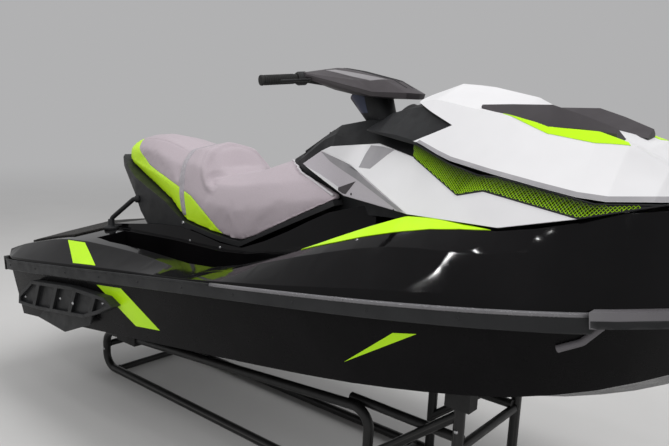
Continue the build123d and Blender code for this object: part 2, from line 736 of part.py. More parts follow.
def make_pods(hood_outer):
    """Mirror housings on the hood's shoulders."""
    sections = []
    for s, ly, lz, ty, tz in POD:
        root = mid(lz, lz - POD_SINK, 0.5)
        face = Polygon((ly, lz), (ty, tz), (ty - POD_ROOT, root), (ly - 6, lz - POD_SINK), align=None)
        sections.append(Plane.YZ.offset(s) * face)
    one = loft(sections, ruled=True) - hood_outer
    return both(max(one.solids(), key=lambda part: part.volume))


def steer_plane():
    lean = radians(STEER_LEAN)
    s, z = STEER_PIVOT
    return Plane(origin=(s, 0, z), x_dir=(0, 1, 0), z_dir=(-sin(lean), 0, cos(lean)))


def make_bar():
    left = [GRIP_END, GRIP_IN, BAR_MID]
    right = [(s, -y, z) for s, y, z in reversed(left)]
    return path_tube(left + right, BAR_BEND, BAR_R)


def make_grips():
    """Rubber grips, closed at their outer ends."""
    run = Vector(*GRIP_IN) - Vector(*GRIP_END)
    at = Plane(origin=Vector(*GRIP_END) - run.normalized() * GRIP_CAP, z_dir=run)
    grip = extrude(at * Circle(GRIP_R), run.length - MOVE_GAP - GRIP_CAP)
    grip -= extrude(at.offset(GRIP_CAP) * Circle(BAR_R + SEAT_GAP), run.length)
    return both(grip)


def make_cover(bar):
    """Padded cover over the bars, from side outlines on both sides of the middle."""
    rows = [(-y, outline_points) for y, outline_points in reversed(COVER[1:])] + COVER
    body = loft([Plane.XZ.offset(-y) * Polygon(*points, align=None) for y, points in rows], ruled=True)
    return body - bar


def make_stem(cover):
    """Steering shroud under the cover, with its spigot in the console."""
    at = steer_plane()
    stem = extrude(at.offset(-STEM_FOOT) * Circle(STEM_R), STEM_HIGH, taper=-STEM_FLARE) - cover
    stem = min(stem.solids(), key=lambda part: part.center().Z)
    return stem + extrude(at.offset(-SPIGOT_LONG) * Circle(SPIGOT_R), SPIGOT_LONG)


def make_levers(cover):
    """Throttle and gate levers ahead of the grips."""
    one = path_tube(LEVER, LEVER_BEND, LEVER_R) - cover
    return both(max(one.solids(), key=lambda part: part.volume))


def make_gauge(keep_out):
    """Instrument cowl: it fills the space under the hood's aft end, clear of the hood and the turning bars."""
    pod = make_hood_outer(GAUGE_GAP) & side(GAUGE_SIDE, 400)
    for piece in keep_out:
        pod -= piece
    return max(pod.solids(), key=lambda part: part.volume)


def axial(s_from, s_to, radius, bore=0.0):
    """Round piece on the pump's axis."""
    face = Circle(radius) - Circle(bore) if bore else Circle(radius)
    return extrude(Plane(origin=(s_from, 0, PUMP_Z), z_dir=(1, 0, 0)) * face, s_to - s_from)


def cone(s_from, s_to, r_from, r_to, b_from, b_to):
    """Tapered pipe on the pump's axis."""
    profile = Polygon((s_from, b_from), (s_to, b_to), (s_to, r_to), (s_from, r_from), align=None)
    turned = revolve(Plane.XZ * profile, Axis.X)
    return Pos(0, 0, PUMP_Z) * turned


def make_housing():
    """Pump duct with its stator, the taper to the venturi and the bearings of nozzle and gate."""
    body = axial(TAPER_S[1], DUCT_END_S, DUCT_R, DUCT_BORE)
    body += axial(DUCT_END_S - FLANGE_THICK, BAY_END_S, FLANGE_R, DUCT_BORE)
    body += cone(*TAPER_S, TAPER_R, DUCT_R, TAPER_BORE, DUCT_BORE)
    body += cone(VENTURI_S, TAPER_S[0], VENTURI_R, TAPER_R, VENTURI_BORE, TAPER_BORE)
    hub = axial(*STATOR_S, HUB_R)
    vane = Pos(mid(*STATOR_S, 0.5), 0, PUMP_Z + mid(HUB_R, DUCT_BORE, 0.5)) * Box(
        STATOR_S[1] - STATOR_S[0], VANE_THICK, DUCT_BORE - HUB_R + 2 * GATE_WALL)
    for i in range(STATOR_VANES):
        hub += vane.rotate(Axis((0, 0, PUMP_Z), (1, 0, 0)), 360 * i / STATOR_VANES)
    hub -= axial(STATOR_S[1] - SHAFT_SEAT, STATOR_S[1] + 1, SHAFT_R + SEAT_GAP)
    body += hub & axial(*STATOR_S, mid(DUCT_BORE, DUCT_R, 0.5))
    ear = Box(EAR_S[1] - EAR_S[0], EAR_WIDE, EAR_THICK)
    arm = Box(ARM_S[1] - ARM_S[0], ARM_THICK, ARM_HIGH)
    for sign in (1, -1):
        body += Pos(mid(*EAR_S, 0.5), 0, PUMP_Z + sign * EAR_Z) * ear
        body += Pos(mid(*ARM_S, 0.5), sign * ARM_Y, PUMP_Z) * arm
    body -= Pos(NOZZLE_PIVOT_S, 0, PUMP_Z) * Cylinder(NOZZLE_PIN_R + SEAT_GAP, 2 * DUCT_R)
    gate_bore = Cylinder(GATE_PIN_R + SEAT_GAP, 2 * FLANGE_R)
    body -= Pos(GATE_PIVOT[0], 0, GATE_PIVOT[1]) * Rot(90, 0, 0) * gate_bore
    body -= axial(NOZZLE_END_S, TAPER_S[0], VENTURI_BORE)
    return body


def make_impeller():
    """Hub and shaft with twisted blades."""
    body = axial(*IMPELLER_S, HUB_R)
    root = HUB_R - BLADE_ROOT
    blade = []
    for k in range(BLADE_STEPS + 1):
        s = mid(*IMPELLER_S, k / BLADE_STEPS)
        turn = BLADE_TWIST * (k / BLADE_STEPS - 0.5)
        face = Rot(0, 0, turn) * Pos(0, mid(root, IMPELLER_R, 0.5)) * Rectangle(BLADE_THICK, IMPELLER_R - root)
        blade.append(Plane(origin=(s, 0, PUMP_Z), x_dir=(0, 1, 0), z_dir=(1, 0, 0)) * face)
    blade = loft(blade, ruled=True)
    for i in range(IMPELLER_BLADES):
        body += blade.rotate(Axis((0, 0, PUMP_Z), (1, 0, 0)), 360 * i / IMPELLER_BLADES)
    body += axial(STATOR_S[1] - SHAFT_IN, SHAFT_END_S, SHAFT_R)
    return body


def make_nozzle():
    body = cone(NOZZLE_END_S, NOZZLE_START_S, NOZZLE_R[1], NOZZLE_R[0], NOZZLE_BORE[1], NOZZLE_BORE[0])
    for sign in (1, -1):
        body += Pos(NOZZLE_PIVOT_S, 0, PUMP_Z + sign * NOZZLE_PIN_Z) * Cylinder(NOZZLE_PIN_R, NOZZLE_PIN_LONG)
    return body


def make_gate():
    """Reverse gate: a bowl part of a drum round the cross pins, and its two cheeks with the pins."""
    s0, z0 = GATE_PIVOT
    drum = Circle(GATE_R + GATE_WALL)
    low, high = [(FAR * cos(radians(turn)), FAR * sin(radians(turn))) for turn in GATE_ARC]
    bowl = (drum - Circle(GATE_R)) & Polygon((0, 0), low, high, align=None)
    body = extrude(Plane.XZ * Pos(s0, z0) * bowl, GATE_HALF + GATE_WALL, both=True)
    cheek = Circle(GATE_HUB_R) + (drum & Polygon((-GATE_NECK, 0), (GATE_NECK, 0), low, high, align=None))
    for sign in (1, -1):
        face_y = -sign * (GATE_HALF + GATE_WALL / 2)
        body += extrude(Plane.XZ.offset(face_y) * Pos(s0, z0) * cheek, GATE_WALL / 2, both=True)
        pin_y = sign * (GATE_HALF + 1 - GATE_PIN_LONG / 2)
        body += Pos(s0, pin_y, z0) * Rot(90, 0, 0) * Cylinder(GATE_PIN_R, GATE_PIN_LONG)
    return body


def make_stand():
    """Side frame of the stand: bent loop, front post, brace and strut; and its twin."""
    y = -STAND_Y
    loop = [(STAND_POST_X, y, TUBE_R), (STAND_REAR_X, y, TUBE_R), (STAND_REAR_X, y, STAND_REAR_Z),
            (STAND_LEG_X, y, STAND_LEG_Z), (STAND_LEG_X, y, TUBE_R)]
    frame = path_tube(loop, STAND_BEND, TUBE_R)
    post = tube((STAND_POST_X, y, 0), (STAND_POST_X, y, STAND_POST_TOP), TUBE_R)
    brace = tube((STAND_LEG_X, y, BRACE_LOW_Z), (STAND_POST_X, y, STAND_POST_TOP - BRACE_DROP), BRACE_R)
    strut_y = y + STRUT_IN
    strut = tube((STAND_LEG_X - STRUT_AFT, strut_y, STRUT_Z), (STAND_POST_X, strut_y, STRUT_Z), BRACE_R)
    one = frame + post + brace + strut
    one = one & Box(2 * FAR, FAR, FAR, align=(Align.CENTER, Align.CENTER, Align.MIN))
    return one, mirror(one, Plane.XZ)


def make_crossbars(sides):
    """Bars between the stand's side frames."""
    body = []
    for x, z in CROSSBARS:
        bar = tube((x, -STAND_Y, z), (x, STAND_Y, z), CROSS_R)
        for one in sides:
            bar -= one
        body.append(max(bar.solids(), key=lambda part: part.volume))
    return Compound(body)


def make_pads(hull_world, sides):
    """Pads on the stand, cut to the hull's underside and the tubes."""
    pads = []
    for x, z_low, z_high, long in PADS:
        pad = Pos(x, -STAND_Y, mid(z_low, z_high, 0.5)) * Box(long, PAD_WIDE, z_high - z_low)
        pad -= hull_world
        for one in sides:
            pad -= one
        pad = max(pad.solids(), key=lambda part: part.volume)
        pads += [pad, mirror(pad, Plane.XZ)]
    return Compound(pads)


def make_seat(keep_out):
    """Cushion lofted through the seat's stations, and the black base that carries it."""
    sections = []
    for s, ly, lz, sy, sz, hy, hz, ty, tz, crown in SEAT:
        sections.append(across(s, [(0, lz), (ly, lz), (sy, sz), (hy, hz), (ty, tz), (0, crown)]))
    cushion = loft(sections, ruled=True)
    top = [BASE_TAIL] + [(row[0], row[2] - SEAT_GAP) for row in SEAT]
    around = BASE_PLAN + [(s, -y) for s, y in reversed(BASE_PLAN)]
    base = side(top + BASE_UNDER, FAR) & plan(around, 0, FAR)
    for piece in keep_out:
        cushion -= piece
        base -= piece
    return [max(part.solids(), key=lambda solid: solid.volume) for part in (cushion, base)]


def make_hinge(deck):
    """Front hinge of the hood: a pin across two brackets on the deck."""
    s, z = HOOD_PIVOT
    body = Pos(s, 0, z) * Rot(90, 0, 0) * Cylinder(PIN_R, 2 * HINGE_HALF)
    arm = Box(2 * LUG_R, HINGE_ARM, 5 * LUG_R, align=(Align.CENTER, Align.CENTER, Align.MAX))
    for sign in (1, -1):
        body += Pos(s, sign * HINGE_ARM_Y, z + LUG_R / 2) * arm
    body -= deck
    return max(body.solids(), key=lambda part: part.volume)


def make_footwell_mats():
    face = offset(Polygon(*WELL_PLAN, align=None), -MAT_MARGIN)
    return both(extrude(Pos(0, 0, WELL_FLOOR) * face, MAT_THICK, dir=(0, 0, 1)))


def make_platform_mat():
    """Traction mat: a band over the crowned platform, on the deck's own stations."""
    sections = []
    for s, inset, lz, ry, rz, hy, hz, crown in [row_at(DECK, s) for s in STATIONS]:
        if PLATFORM_S[0] <= s <= PLATFORM_S[1]:
            top = [(0, crown), (hy, hz), (PLATFORM_HALF, mid(hz, rz, (PLATFORM_HALF - hy) / (ry - hy)))]
            low = [(y, z + SEAT_GAP) for y, z in top]
            high = [(y, z + MAT_THICK) for y, z in reversed(top)]
            sections.append(across(s, low + high))
    return loft(sections, ruled=True)


def make_handle(keep_out):
    """Grab handle beside the tail of the seat, from the seat's base down to the platform."""
    one = path_tube(HANDLE, HANDLE_BEND, HANDLE_R)
    for piece in keep_out:
        one -= piece
    return both(max(one.solids(), key=lambda part: part.volume))


def make_bow_eye(hull):
    """Towing eye with its tail let into the stem."""
    tail = Pos(-BOW_EYE_TAIL / 2, EYE_BORE) * Rectangle(BOW_EYE_TAIL, 4 * EYE_BORE)
    plate = Plane.XZ * Pos(*BOW_EYE) * (Circle(BOW_EYE_R) + tail - Circle(EYE_BORE))
    return max((extrude(plate, BOW_EYE_THICK / 2, both=True) - hull).solids(), key=lambda part: part.volume)


def make_stern_eyes():
    """Tie-down eyes on the transom."""
    eye = Plane.XZ.offset(-STERN_EYE_Y) * Pos(TRANSOM_S - EYE_R, STERN_EYE_Z)
    plate = eye * (Circle(EYE_R) + Pos(EYE_R / 2, 0) * Rectangle(EYE_R, 2 * EYE_R) - Circle(EYE_BORE))
    return both(extrude(plate, EYE_THICK / 2, both=True))


def make_ride_plate():
    """Ride plate that closes the pump bay, with its fins."""
    half = BAY_HALF - SEAT_GAP
    plate = block(PLATE_S, BAY_END_S - 1, -half, half, *PLATE_Z)
    for y in PLATE_FINS_Y:
        plate += Pos(PLATE_FIN_S, y, 0) * Box(*PLATE_FIN)
    return plate


def make_grate():
    """Bars over the water intake."""
    half = INTAKE_HALF - SEAT_GAP
    body = block(BAY_END_S, BAY_END_S + GRATE_ENDS[0], -half, half, *GRATE_Z)
    body += block(INTAKE_END_S - GRATE_ENDS[1], INTAKE_END_S, -half, half, *GRATE_Z)
    for y in GRATE_BARS_Y:
        body += block(BAY_END_S, INTAKE_END_S, y - GRATE_BAR / 2, y + GRATE_BAR / 2, *GRATE_Z)
    return body


def to_world(shape):
    return Pos(0, 0, KEEL_LIFT) * Rot(0, -PITCH, 0) * shape


def joint_axes():
    """Joints: name, a point on the axis and the axis's direction, in the craft frame."""
    lean = radians(STEER_LEAN)
    s, z = STEER_PIVOT
    lid_s, lid_z = lid_pivot()
    return [
        ("steering", (s, 0, z), (-sin(lean), 0, cos(lean))),
        ("nozzle", (NOZZLE_PIVOT_S, 0, PUMP_Z), (0, 0, 1)),
        ("gate", (GATE_PIVOT[0], 0, GATE_PIVOT[1]), (0, -1, 0)),
        ("impeller", (IMPELLER_S[0], 0, PUMP_Z), (1, 0, 0)),
        ("hood", (HOOD_PIVOT[0], 0, HOOD_PIVOT[1]), (0, 1, 0)),
        ("glovebox", (lid_s, 0, lid_z), (0, 1, 0)),
    ]


def main():
    os.makedirs("parts", exist_ok=True)
    hull = make_hull()
    deck = make_deck()
    core = make_core(deck)
    side_port, side_starboard = make_side_panels()
    knee_port, knee_starboard = make_knee_panels()
    mesh_port, mesh_starboard = make_mesh_panels()
    panels = [side_port, side_starboard, knee_port, knee_starboard]
    cushion, base = make_seat([core, deck] + panels)
    hood = make_hood()
    hood_outer = make_hood_outer(0)
    bar = make_bar()
    cover = make_cover(bar)
    platform_mat = make_platform_mat()
    craft = {
        "hull": hull,
        "deck": deck,
        "rub_rails": rim(RAIL_DEEP, *RAIL_Z, CAP_S, RAIL_END_S),
        "bow_bumper": make_bumper(hull, deck),
        "corner_caps": make_caps(),
        "sponsons": make_sponsons(hull),
        "console": core,
        "side_panel_port": side_port,
        "side_panel_starboard": side_starboard,
        "knee_panel_port": knee_port,
        "knee_panel_starboard": knee_starboard,
        "mesh_panel_port": mesh_port,
        "mesh_panel_starboard": mesh_starboard,
        "seat_cushion": cushion,
        "seat_base": base,
        "bow_bin": make_bin(),
        "hood": hood,
        "mirror_pods": make_pods(hood_outer),
        "glovebox_lid": make_lid(),
        "gauge": make_gauge([core] + panels + [mesh_port, mesh_starboard]),
        "handlebar": bar,
        "grips": make_grips(),
        "bar_cover": cover,
        "steering_stem": make_stem(cover),
        "levers": make_levers(cover),
        "engine": standing(ENGINE, ENGINE_S + ENGINE[0] / 2),
        "pump_housing": make_housing(),
        "impeller": make_impeller(),
        "nozzle": make_nozzle(),
        "reverse_gate": make_gate(),
        "hood_hinge": make_hinge(deck),
        "footwell_mats": make_footwell_mats(),
        "platform_mat": platform_mat,
        "grab_handle": make_handle([deck, base, platform_mat]),
        "bow_eye": make_bow_eye(hull),
        "stern_eyes": make_stern_eyes(),
        "ride_plate": make_ride_plate(),
        "intake_grate": make_grate(),
    }
    sides = make_stand()
    world = {name: to_world(shape) for name, shape in craft.items()}
    world["stand_starboard"], world["stand_port"] = sides
    world["stand_crossbars"] = make_crossbars(sides)
    world["stand_pads"] = make_pads(world["hull"], sides)
    boxes = [shape.bounding_box() for shape in world.values()]
    middle = (min(b.min.X for b in boxes) + max(b.max.X for b in boxes)) / 2
    for name, shape in world.items():
        export_step(Pos(-middle, 0, 0) * shape, "parts/" + name + ".step")
    for name, place, along in joint_axes():
        at = to_world(Pos(*place) * Vertex(0, 0, 0)).center() - Vector(middle, 0, 0)
        tip = to_world(Pos(*(Vector(*place) + Vector(*along))) * Vertex(0, 0, 0)).center() - Vector(middle, 0, 0)
        print("joint", name, *[round(v, 4) for v in (*at, *(tip - at))])
    print("middle", middle)


main()
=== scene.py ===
import bpy
import bmesh
from math import ceil, cos, pi, radians, sin, sqrt
from mathutils import Matrix, Vector
from mathutils.bvhtree import BVHTree
from mathutils.kdtree import KDTree


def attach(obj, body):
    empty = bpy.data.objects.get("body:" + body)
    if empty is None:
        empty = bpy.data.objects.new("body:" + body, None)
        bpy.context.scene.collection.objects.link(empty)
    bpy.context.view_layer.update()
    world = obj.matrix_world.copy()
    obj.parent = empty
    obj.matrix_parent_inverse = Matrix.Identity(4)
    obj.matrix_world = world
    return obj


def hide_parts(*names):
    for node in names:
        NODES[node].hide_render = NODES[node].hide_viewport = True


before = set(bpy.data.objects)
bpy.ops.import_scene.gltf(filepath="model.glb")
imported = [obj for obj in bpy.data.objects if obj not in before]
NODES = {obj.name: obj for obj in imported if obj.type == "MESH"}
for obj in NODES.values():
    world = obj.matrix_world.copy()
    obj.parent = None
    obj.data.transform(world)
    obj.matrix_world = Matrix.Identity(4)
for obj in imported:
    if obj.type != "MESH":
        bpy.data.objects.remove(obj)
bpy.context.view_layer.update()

# The craft's own axes: s forward from the stern, y to port, z up from the keel line, in millimetres.
# PITCH, LIFT and MIDDLE place them in the row frame
PITCH = radians(7.6)
LIFT = 0.124
MIDDLE = 1.6206618


def craft(s, y, z):
    """Row-frame point, in metres, of a point given in the craft's own axes."""
    s, y, z = s / 1000, y / 1000, z / 1000
    return Vector((s * cos(PITCH) - z * sin(PITCH) - MIDDLE, y, LIFT + s * sin(PITCH) + z * cos(PITCH)))


def along(s, y, z):
    """Row-frame direction of a direction in the craft's own axes."""
    return (craft(s, y, z) - craft(0, 0, 0)).normalized()


def side_view(point):
    """Station and height, in craft millimetres, of a row-frame point."""
    x, z = point.x + MIDDLE, point.z - LIFT
    return (x * cos(PITCH) + z * sin(PITCH)) * 1000, (z * cos(PITCH) - x * sin(PITCH)) * 1000


# Materials
MATERIALS = {}
# Noise values between which a colour or roughness goes from its low to its high
SPREAD = (0.3, 0.7)


class Shader:
    """A Principled material and the textures that vary its colour, roughness and relief."""

    def __init__(self, name, metal=0.0, coat=0.0, coat_rough=0.04, sheen=0.0, ior=1.5):
        self.mat = bpy.data.materials.new(name)
        self.mat.use_nodes = True
        self.tree = self.mat.node_tree
        self.bsdf = self.tree.nodes["Principled BSDF"]
        self.bsdf.inputs["Metallic"].default_value = metal
        self.bsdf.inputs["Coat Weight"].default_value = coat
        self.bsdf.inputs["Coat Roughness"].default_value = coat_rough
        self.bsdf.inputs["Sheen Weight"].default_value = sheen
        self.bsdf.inputs["IOR"].default_value = ior
        self.place = self.node("ShaderNodeTexCoord").outputs["Object"]
        self.normal = None
        MATERIALS[name] = self.mat

    def node(self, kind, **settings):
        made = self.tree.nodes.new(kind)
        for key, value in settings.items():
            setattr(made, key, value)
        return made

    def link(self, a, b):
        self.tree.links.new(a, b)

    def where(self, stretch=None, turn=None):
        """Object coordinates, stretched or turned where that is asked."""
        if not stretch and not turn:
            return self.place
        mapping = self.node("ShaderNodeMapping")
        if stretch:
            mapping.inputs["Scale"].default_value = stretch
        if turn:
            mapping.inputs["Rotation"].default_value = turn
        self.link(self.place, mapping.inputs["Vector"])
        return mapping.outputs["Vector"]

    def noise(self, scale, detail, rough=0.55, stretch=None):
        tex = self.node("ShaderNodeTexNoise")
        tex.inputs["Scale"].default_value = scale
        tex.inputs["Detail"].default_value = detail
        tex.inputs["Roughness"].default_value = rough
        self.link(self.where(stretch), tex.inputs["Vector"])
        return tex.outputs["Fac"]

    def cells(self, scale, feature="F1"):
        tex = self.node("ShaderNodeTexVoronoi", feature=feature)
        tex.inputs["Scale"].default_value = scale
        self.link(self.place, tex.inputs["Vector"])
        return tex.outputs["Distance"]

    def ridges(self, scale, turn):
        """Straight ridges across the surface."""
        tex = self.node("ShaderNodeTexWave", wave_type="BANDS", bands_direction="X")
        tex.inputs["Scale"].default_value = scale
        tex.inputs["Distortion"].default_value = 0.0
        self.link(self.where(turn=turn), tex.inputs["Vector"])
        return tex.outputs["Fac"]

    def stored(self, name):
        """A value stored on the mesh's points."""
        tex = self.node("ShaderNodeAttribute")
        tex.attribute_name = name
        return tex.outputs["Fac"]

    def ramp(self, fac, low, high, at):
        """Colour from low to high as fac runs over at."""
        ramp = self.node("ShaderNodeValToRGB")
        ramp.color_ramp.elements[0].position = at[0]
        ramp.color_ramp.elements[1].position = at[1]
        ramp.color_ramp.elements[0].color = (*low, 1)
        ramp.color_ramp.elements[1].color = (*high, 1)
        self.link(fac, ramp.inputs["Fac"])
        return ramp.outputs["Color"]

    def colour(self, fac, low, high, at=SPREAD, worn=None):
        """Base colour; with worn, edges go over to that colour."""
        base = self.ramp(fac, low, high, at)
        if worn:
            edge = self.node("ShaderNodeNewGeometry").outputs["Pointiness"]
            mix = self.node("ShaderNodeMix", data_type="RGBA")
            mix.inputs["B"].default_value = (*worn, 1)
            self.link(self.ramp(edge, (0, 0, 0), (1, 1, 1), (0.53, 0.62)), mix.inputs["Factor"])
            self.link(base, mix.inputs["A"])
            base = mix.outputs["Result"]
        self.link(base, self.bsdf.inputs["Base Color"])

    def remap(self, fac, low, high, at, blend="LINEAR"):
        """Value from low to high as fac runs over at."""
        spread = self.node("ShaderNodeMapRange", interpolation_type=blend)
        for key, value in zip(("From Min", "From Max", "To Min", "To Max"), (*at, low, high)):
            spread.inputs[key].default_value = value
        self.link(fac, spread.inputs["Value"])
        return spread.outputs["Result"]

    def rough(self, fac, low, high):
        self.link(self.remap(fac, low, high, SPREAD), self.bsdf.inputs["Roughness"])

    def bump(self, height, depth, strength):
        """Relief of the given depth in metres; bumps add up."""
        bump = self.node("ShaderNodeBump")
        bump.inputs["Strength"].default_value = strength
        bump.inputs["Distance"].default_value = depth
        self.link(height, bump.inputs["Height"])
        if self.normal:
            self.link(self.normal, bump.inputs["Normal"])
        self.normal = bump.outputs["Normal"]
        self.link(self.normal, self.bsdf.inputs["Normal"])


m = Shader("gelcoat_black", ior=1.27)
m.colour(m.noise(3.5, 4), (0.0024, 0.0022, 0.0026), (0.0052, 0.0048, 0.0054))
m.rough(m.noise(9, 6, 0.7), 0.04, 0.10)
m.bump(m.noise(26, 2), 0.00010, 0.07)

m = Shader("gelcoat_hull", ior=1.16)
m.colour(m.noise(3.5, 4), (0.0030, 0.0028, 0.0031), (0.0058, 0.0054, 0.0060))
m.rough(m.noise(9, 6, 0.7), 0.22, 0.34)
m.bump(m.noise(26, 2), 0.00010, 0.25)

# White of the side panels and the hood; on the knee panels' upper facet edge it is a painted highlight
m = Shader("white_and_painted_highlight", ior=1.42)
m.colour(m.noise(4, 3), (0.685, 0.68, 0.695), (0.735, 0.73, 0.745))
m.rough(m.noise(14, 5), 0.30, 0.40)
m.bump(m.noise(30, 2), 0.0001, 0.15)

m = Shader("panel_silver", metal=0.2, coat=0.25, coat_rough=0.2)
m.colour(m.noise(900, 2), (0.50, 0.47, 0.505), (0.64, 0.605, 0.645))
m.rough(m.noise(18, 4), 0.34, 0.46)
m.bump(m.noise(220, 2), 0.00008, 0.3)

# Grey; along the hood's lower edge and in the side panels' scoop it is painted shade
m = Shader("grey_trim_and_painted_shade")
m.colour(m.noise(12, 3), (0.27, 0.265, 0.28), (0.34, 0.33, 0.345))
m.rough(m.noise(18, 4), 0.36, 0.5)

m = Shader("lime_gloss", ior=1.35)
m.colour(m.noise(5, 3), (0.47, 0.84, 0.006), (0.53, 0.90, 0.009))
m.rough(m.noise(20, 5), 0.28, 0.42)
m.bump(m.noise(160, 2), 0.00008, 0.3)

# Lime at the panel's lower edge, going dark towards the upper edge: painted shade from the hood
m = Shader("lime_mesh", ior=1.35)
m.colour(m.stored("hood_shade"), (0.44, 0.78, 0.010), (0.060, 0.100, 0.008), (0.0, 0.9))
m.rough(m.noise(40, 4), 0.40, 0.58)

m = Shader("plastic_dark", ior=1.38)
m.colour(m.noise(6, 5), (0.0095, 0.010, 0.0108), (0.019, 0.0195, 0.021), worn=(0.05, 0.05, 0.052))
m.rough(m.noise(25, 5), 0.40, 0.56)
m.bump(m.cells(1300), 0.00012, 0.5)

m = Shader("plastic_grey", ior=1.4)
m.colour(m.noise(6, 5), (0.048, 0.043, 0.047), (0.066, 0.060, 0.065), worn=(0.10, 0.10, 0.10))
m.rough(m.noise(25, 5), 0.40, 0.55)
m.bump(m.cells(1300), 0.00012, 0.5)

# Grained dark grey of the bar cover; in the knee panels' notch it is painted shade
m = Shader("plastic_cover_and_painted_shade", ior=1.4)
m.colour(m.noise(6, 5), (0.050, 0.044, 0.048), (0.070, 0.063, 0.068))
m.rough(m.noise(25, 5), 0.46, 0.60)
m.bump(m.cells(900), 0.00016, 0.5)

m = Shader("pad_pale")
m.colour(m.noise(8, 5), (0.21, 0.20, 0.21), (0.27, 0.26, 0.27))
m.rough(m.noise(25, 5), 0.42, 0.55)
m.bump(m.cells(900), 0.00016, 0.5)

# Blue-grey on the steering stem: a painted reflection
m = Shader("blue_painted_reflection", ior=1.4)
m.colour(m.noise(8, 5), (0.030, 0.038, 0.072), (0.044, 0.055, 0.100))
m.rough(m.noise(25, 5), 0.30, 0.42)

m = Shader("plastic_bumper", ior=1.4)
m.colour(m.noise(5, 5), (0.108, 0.102, 0.110), (0.145, 0.137, 0.148), worn=(0.22, 0.22, 0.225))
m.rough(m.noise(18, 5), 0.30, 0.44)
m.bump(m.cells(900), 0.00014, 0.5)

# Lighter grey with some metal: a painted highlight along the rail's top towards the bow
m = Shader("bead_painted_highlight", metal=0.35, ior=1.6)
m.colour(m.noise(6, 4), (0.15, 0.146, 0.155), (0.21, 0.205, 0.215))
m.rough(m.noise(20, 4), 0.20, 0.32)

m = Shader("dial_face", coat=1.0, coat_rough=0.02)
m.colour(m.noise(9, 3), (0.010, 0.012, 0.014), (0.016, 0.018, 0.020))
m.rough(m.noise(30, 3), 0.16, 0.24)

m = Shader("dial_mark")
m.colour(m.noise(9, 3), (0.62, 0.62, 0.62), (0.70, 0.70, 0.70))
m.rough(m.noise(30, 3), 0.4, 0.5)


def vinyl(name, low, high):
    v = Shader(name, ior=1.45)
    v.colour(v.noise(420, 3, 0.6), low, high)
    v.rough(v.noise(30, 4), 0.36, 0.48)
    v.bump(v.cells(620, "DISTANCE_TO_EDGE"), 0.00025, 0.5)
    v.bump(v.noise(34, 4), 0.0010, 0.22)


vinyl("vinyl_silver", (0.385, 0.332, 0.362), (0.465, 0.405, 0.44))
vinyl("vinyl_lime", (0.53, 0.86, 0.012), (0.60, 0.93, 0.02))

m = Shader("vinyl_pale", ior=1.45)
m.colour(m.noise(60, 4), (0.50, 0.48, 0.50), (0.58, 0.555, 0.58))
m.rough(m.noise(60, 4), 0.30, 0.42)

m = Shader("webbing", sheen=0.2)
m.colour(m.noise(60, 4), (0.36, 0.335, 0.365), (0.46, 0.43, 0.465))
m.rough(m.noise(80, 3), 0.55, 0.70)
m.bump(m.ridges(420, (0.0, 0.0, 0.5)), 0.0004, 0.7)
m.bump(m.ridges(420, (0.0, 0.0, -0.9)), 0.0003, 0.6)

m = Shader("thread")
m.colour(m.noise(300, 2), (0.30, 0.29, 0.30), (0.42, 0.41, 0.42))
m.rough(m.noise(300, 2), 0.55, 0.7)

m = Shader("rubber_black", ior=1.38)
m.colour(m.noise(12, 5), (0.010, 0.010, 0.010), (0.022, 0.022, 0.022), worn=(0.05, 0.05, 0.05))
m.rough(m.noise(30, 5), 0.58, 0.78)
m.bump(m.noise(700, 3), 0.0002, 0.5)

m = Shader("rubber_mat", ior=1.38)
m.colour(m.noise(14, 5), (0.026, 0.025, 0.024), (0.046, 0.044, 0.042))
m.rough(m.noise(30, 5), 0.62, 0.80)
m.bump(m.ridges(26, (0.0, 0.0, 0.6)), 0.0022, 0.9)
m.bump(m.ridges(26, (0.0, 0.0, -0.6)), 0.0018, 0.8)

m = Shader("alloy_cast", metal=1.0)
m.colour(m.noise(16, 5), (0.42, 0.43, 0.44), (0.56, 0.57, 0.58))
m.rough(m.noise(22, 5), 0.34, 0.52)
m.bump(m.noise(620, 3), 0.0002, 0.5)

m = Shader("alloy_black", metal=0.6, ior=1.45)
m.colour(m.noise(16, 5), (0.020, 0.020, 0.021), (0.034, 0.034, 0.035), worn=(0.12, 0.12, 0.12))
m.rough(m.noise(22, 5), 0.34, 0.50)
m.bump(m.noise(620, 3), 0.0002, 0.4)

m = Shader("steel_bright", metal=1.0)
m.colour(m.noise(10, 4), (0.52, 0.52, 0.53), (0.64, 0.64, 0.65))
m.rough(m.noise(120, 3, stretch=(1, 14, 14)), 0.16, 0.32)

m = Shader("powder_black", ior=1.42)
m.colour(m.noise(9, 5), (0.008, 0.008, 0.008), (0.016, 0.016, 0.016), worn=(0.06, 0.058, 0.055))
m.rough(m.noise(30, 5), 0.30, 0.48)
m.bump(m.noise(900, 2), 0.00012, 0.45)


# CAD nodes
def dress(node, material, bevel, angle):
    """Weld a CAD node's triangles, round its edges (millimetres, degrees) and give it its material."""
    obj = NODES[node]
    obj.data.materials.clear()
    obj.data.materials.append(MATERIALS[material])
    weld = obj.modifiers.new("weld", "WELD")
    weld.merge_threshold = 0.00002
    obj.data.polygons.foreach_set("use_smooth", [True] * len(obj.data.polygons))
    round_off = obj.modifiers.new("bevel", "BEVEL")
    round_off.width = bevel / 1000
    round_off.segments = 2
    round_off.limit_method = "ANGLE"
    round_off.angle_limit = radians(angle)
    round_off.use_clamp_overlap = True
    round_off.harden_normals = False
    normals = obj.modifiers.new("normals", "WEIGHTED_NORMAL")
    normals.mode = "FACE_AREA"
    normals.keep_sharp = True


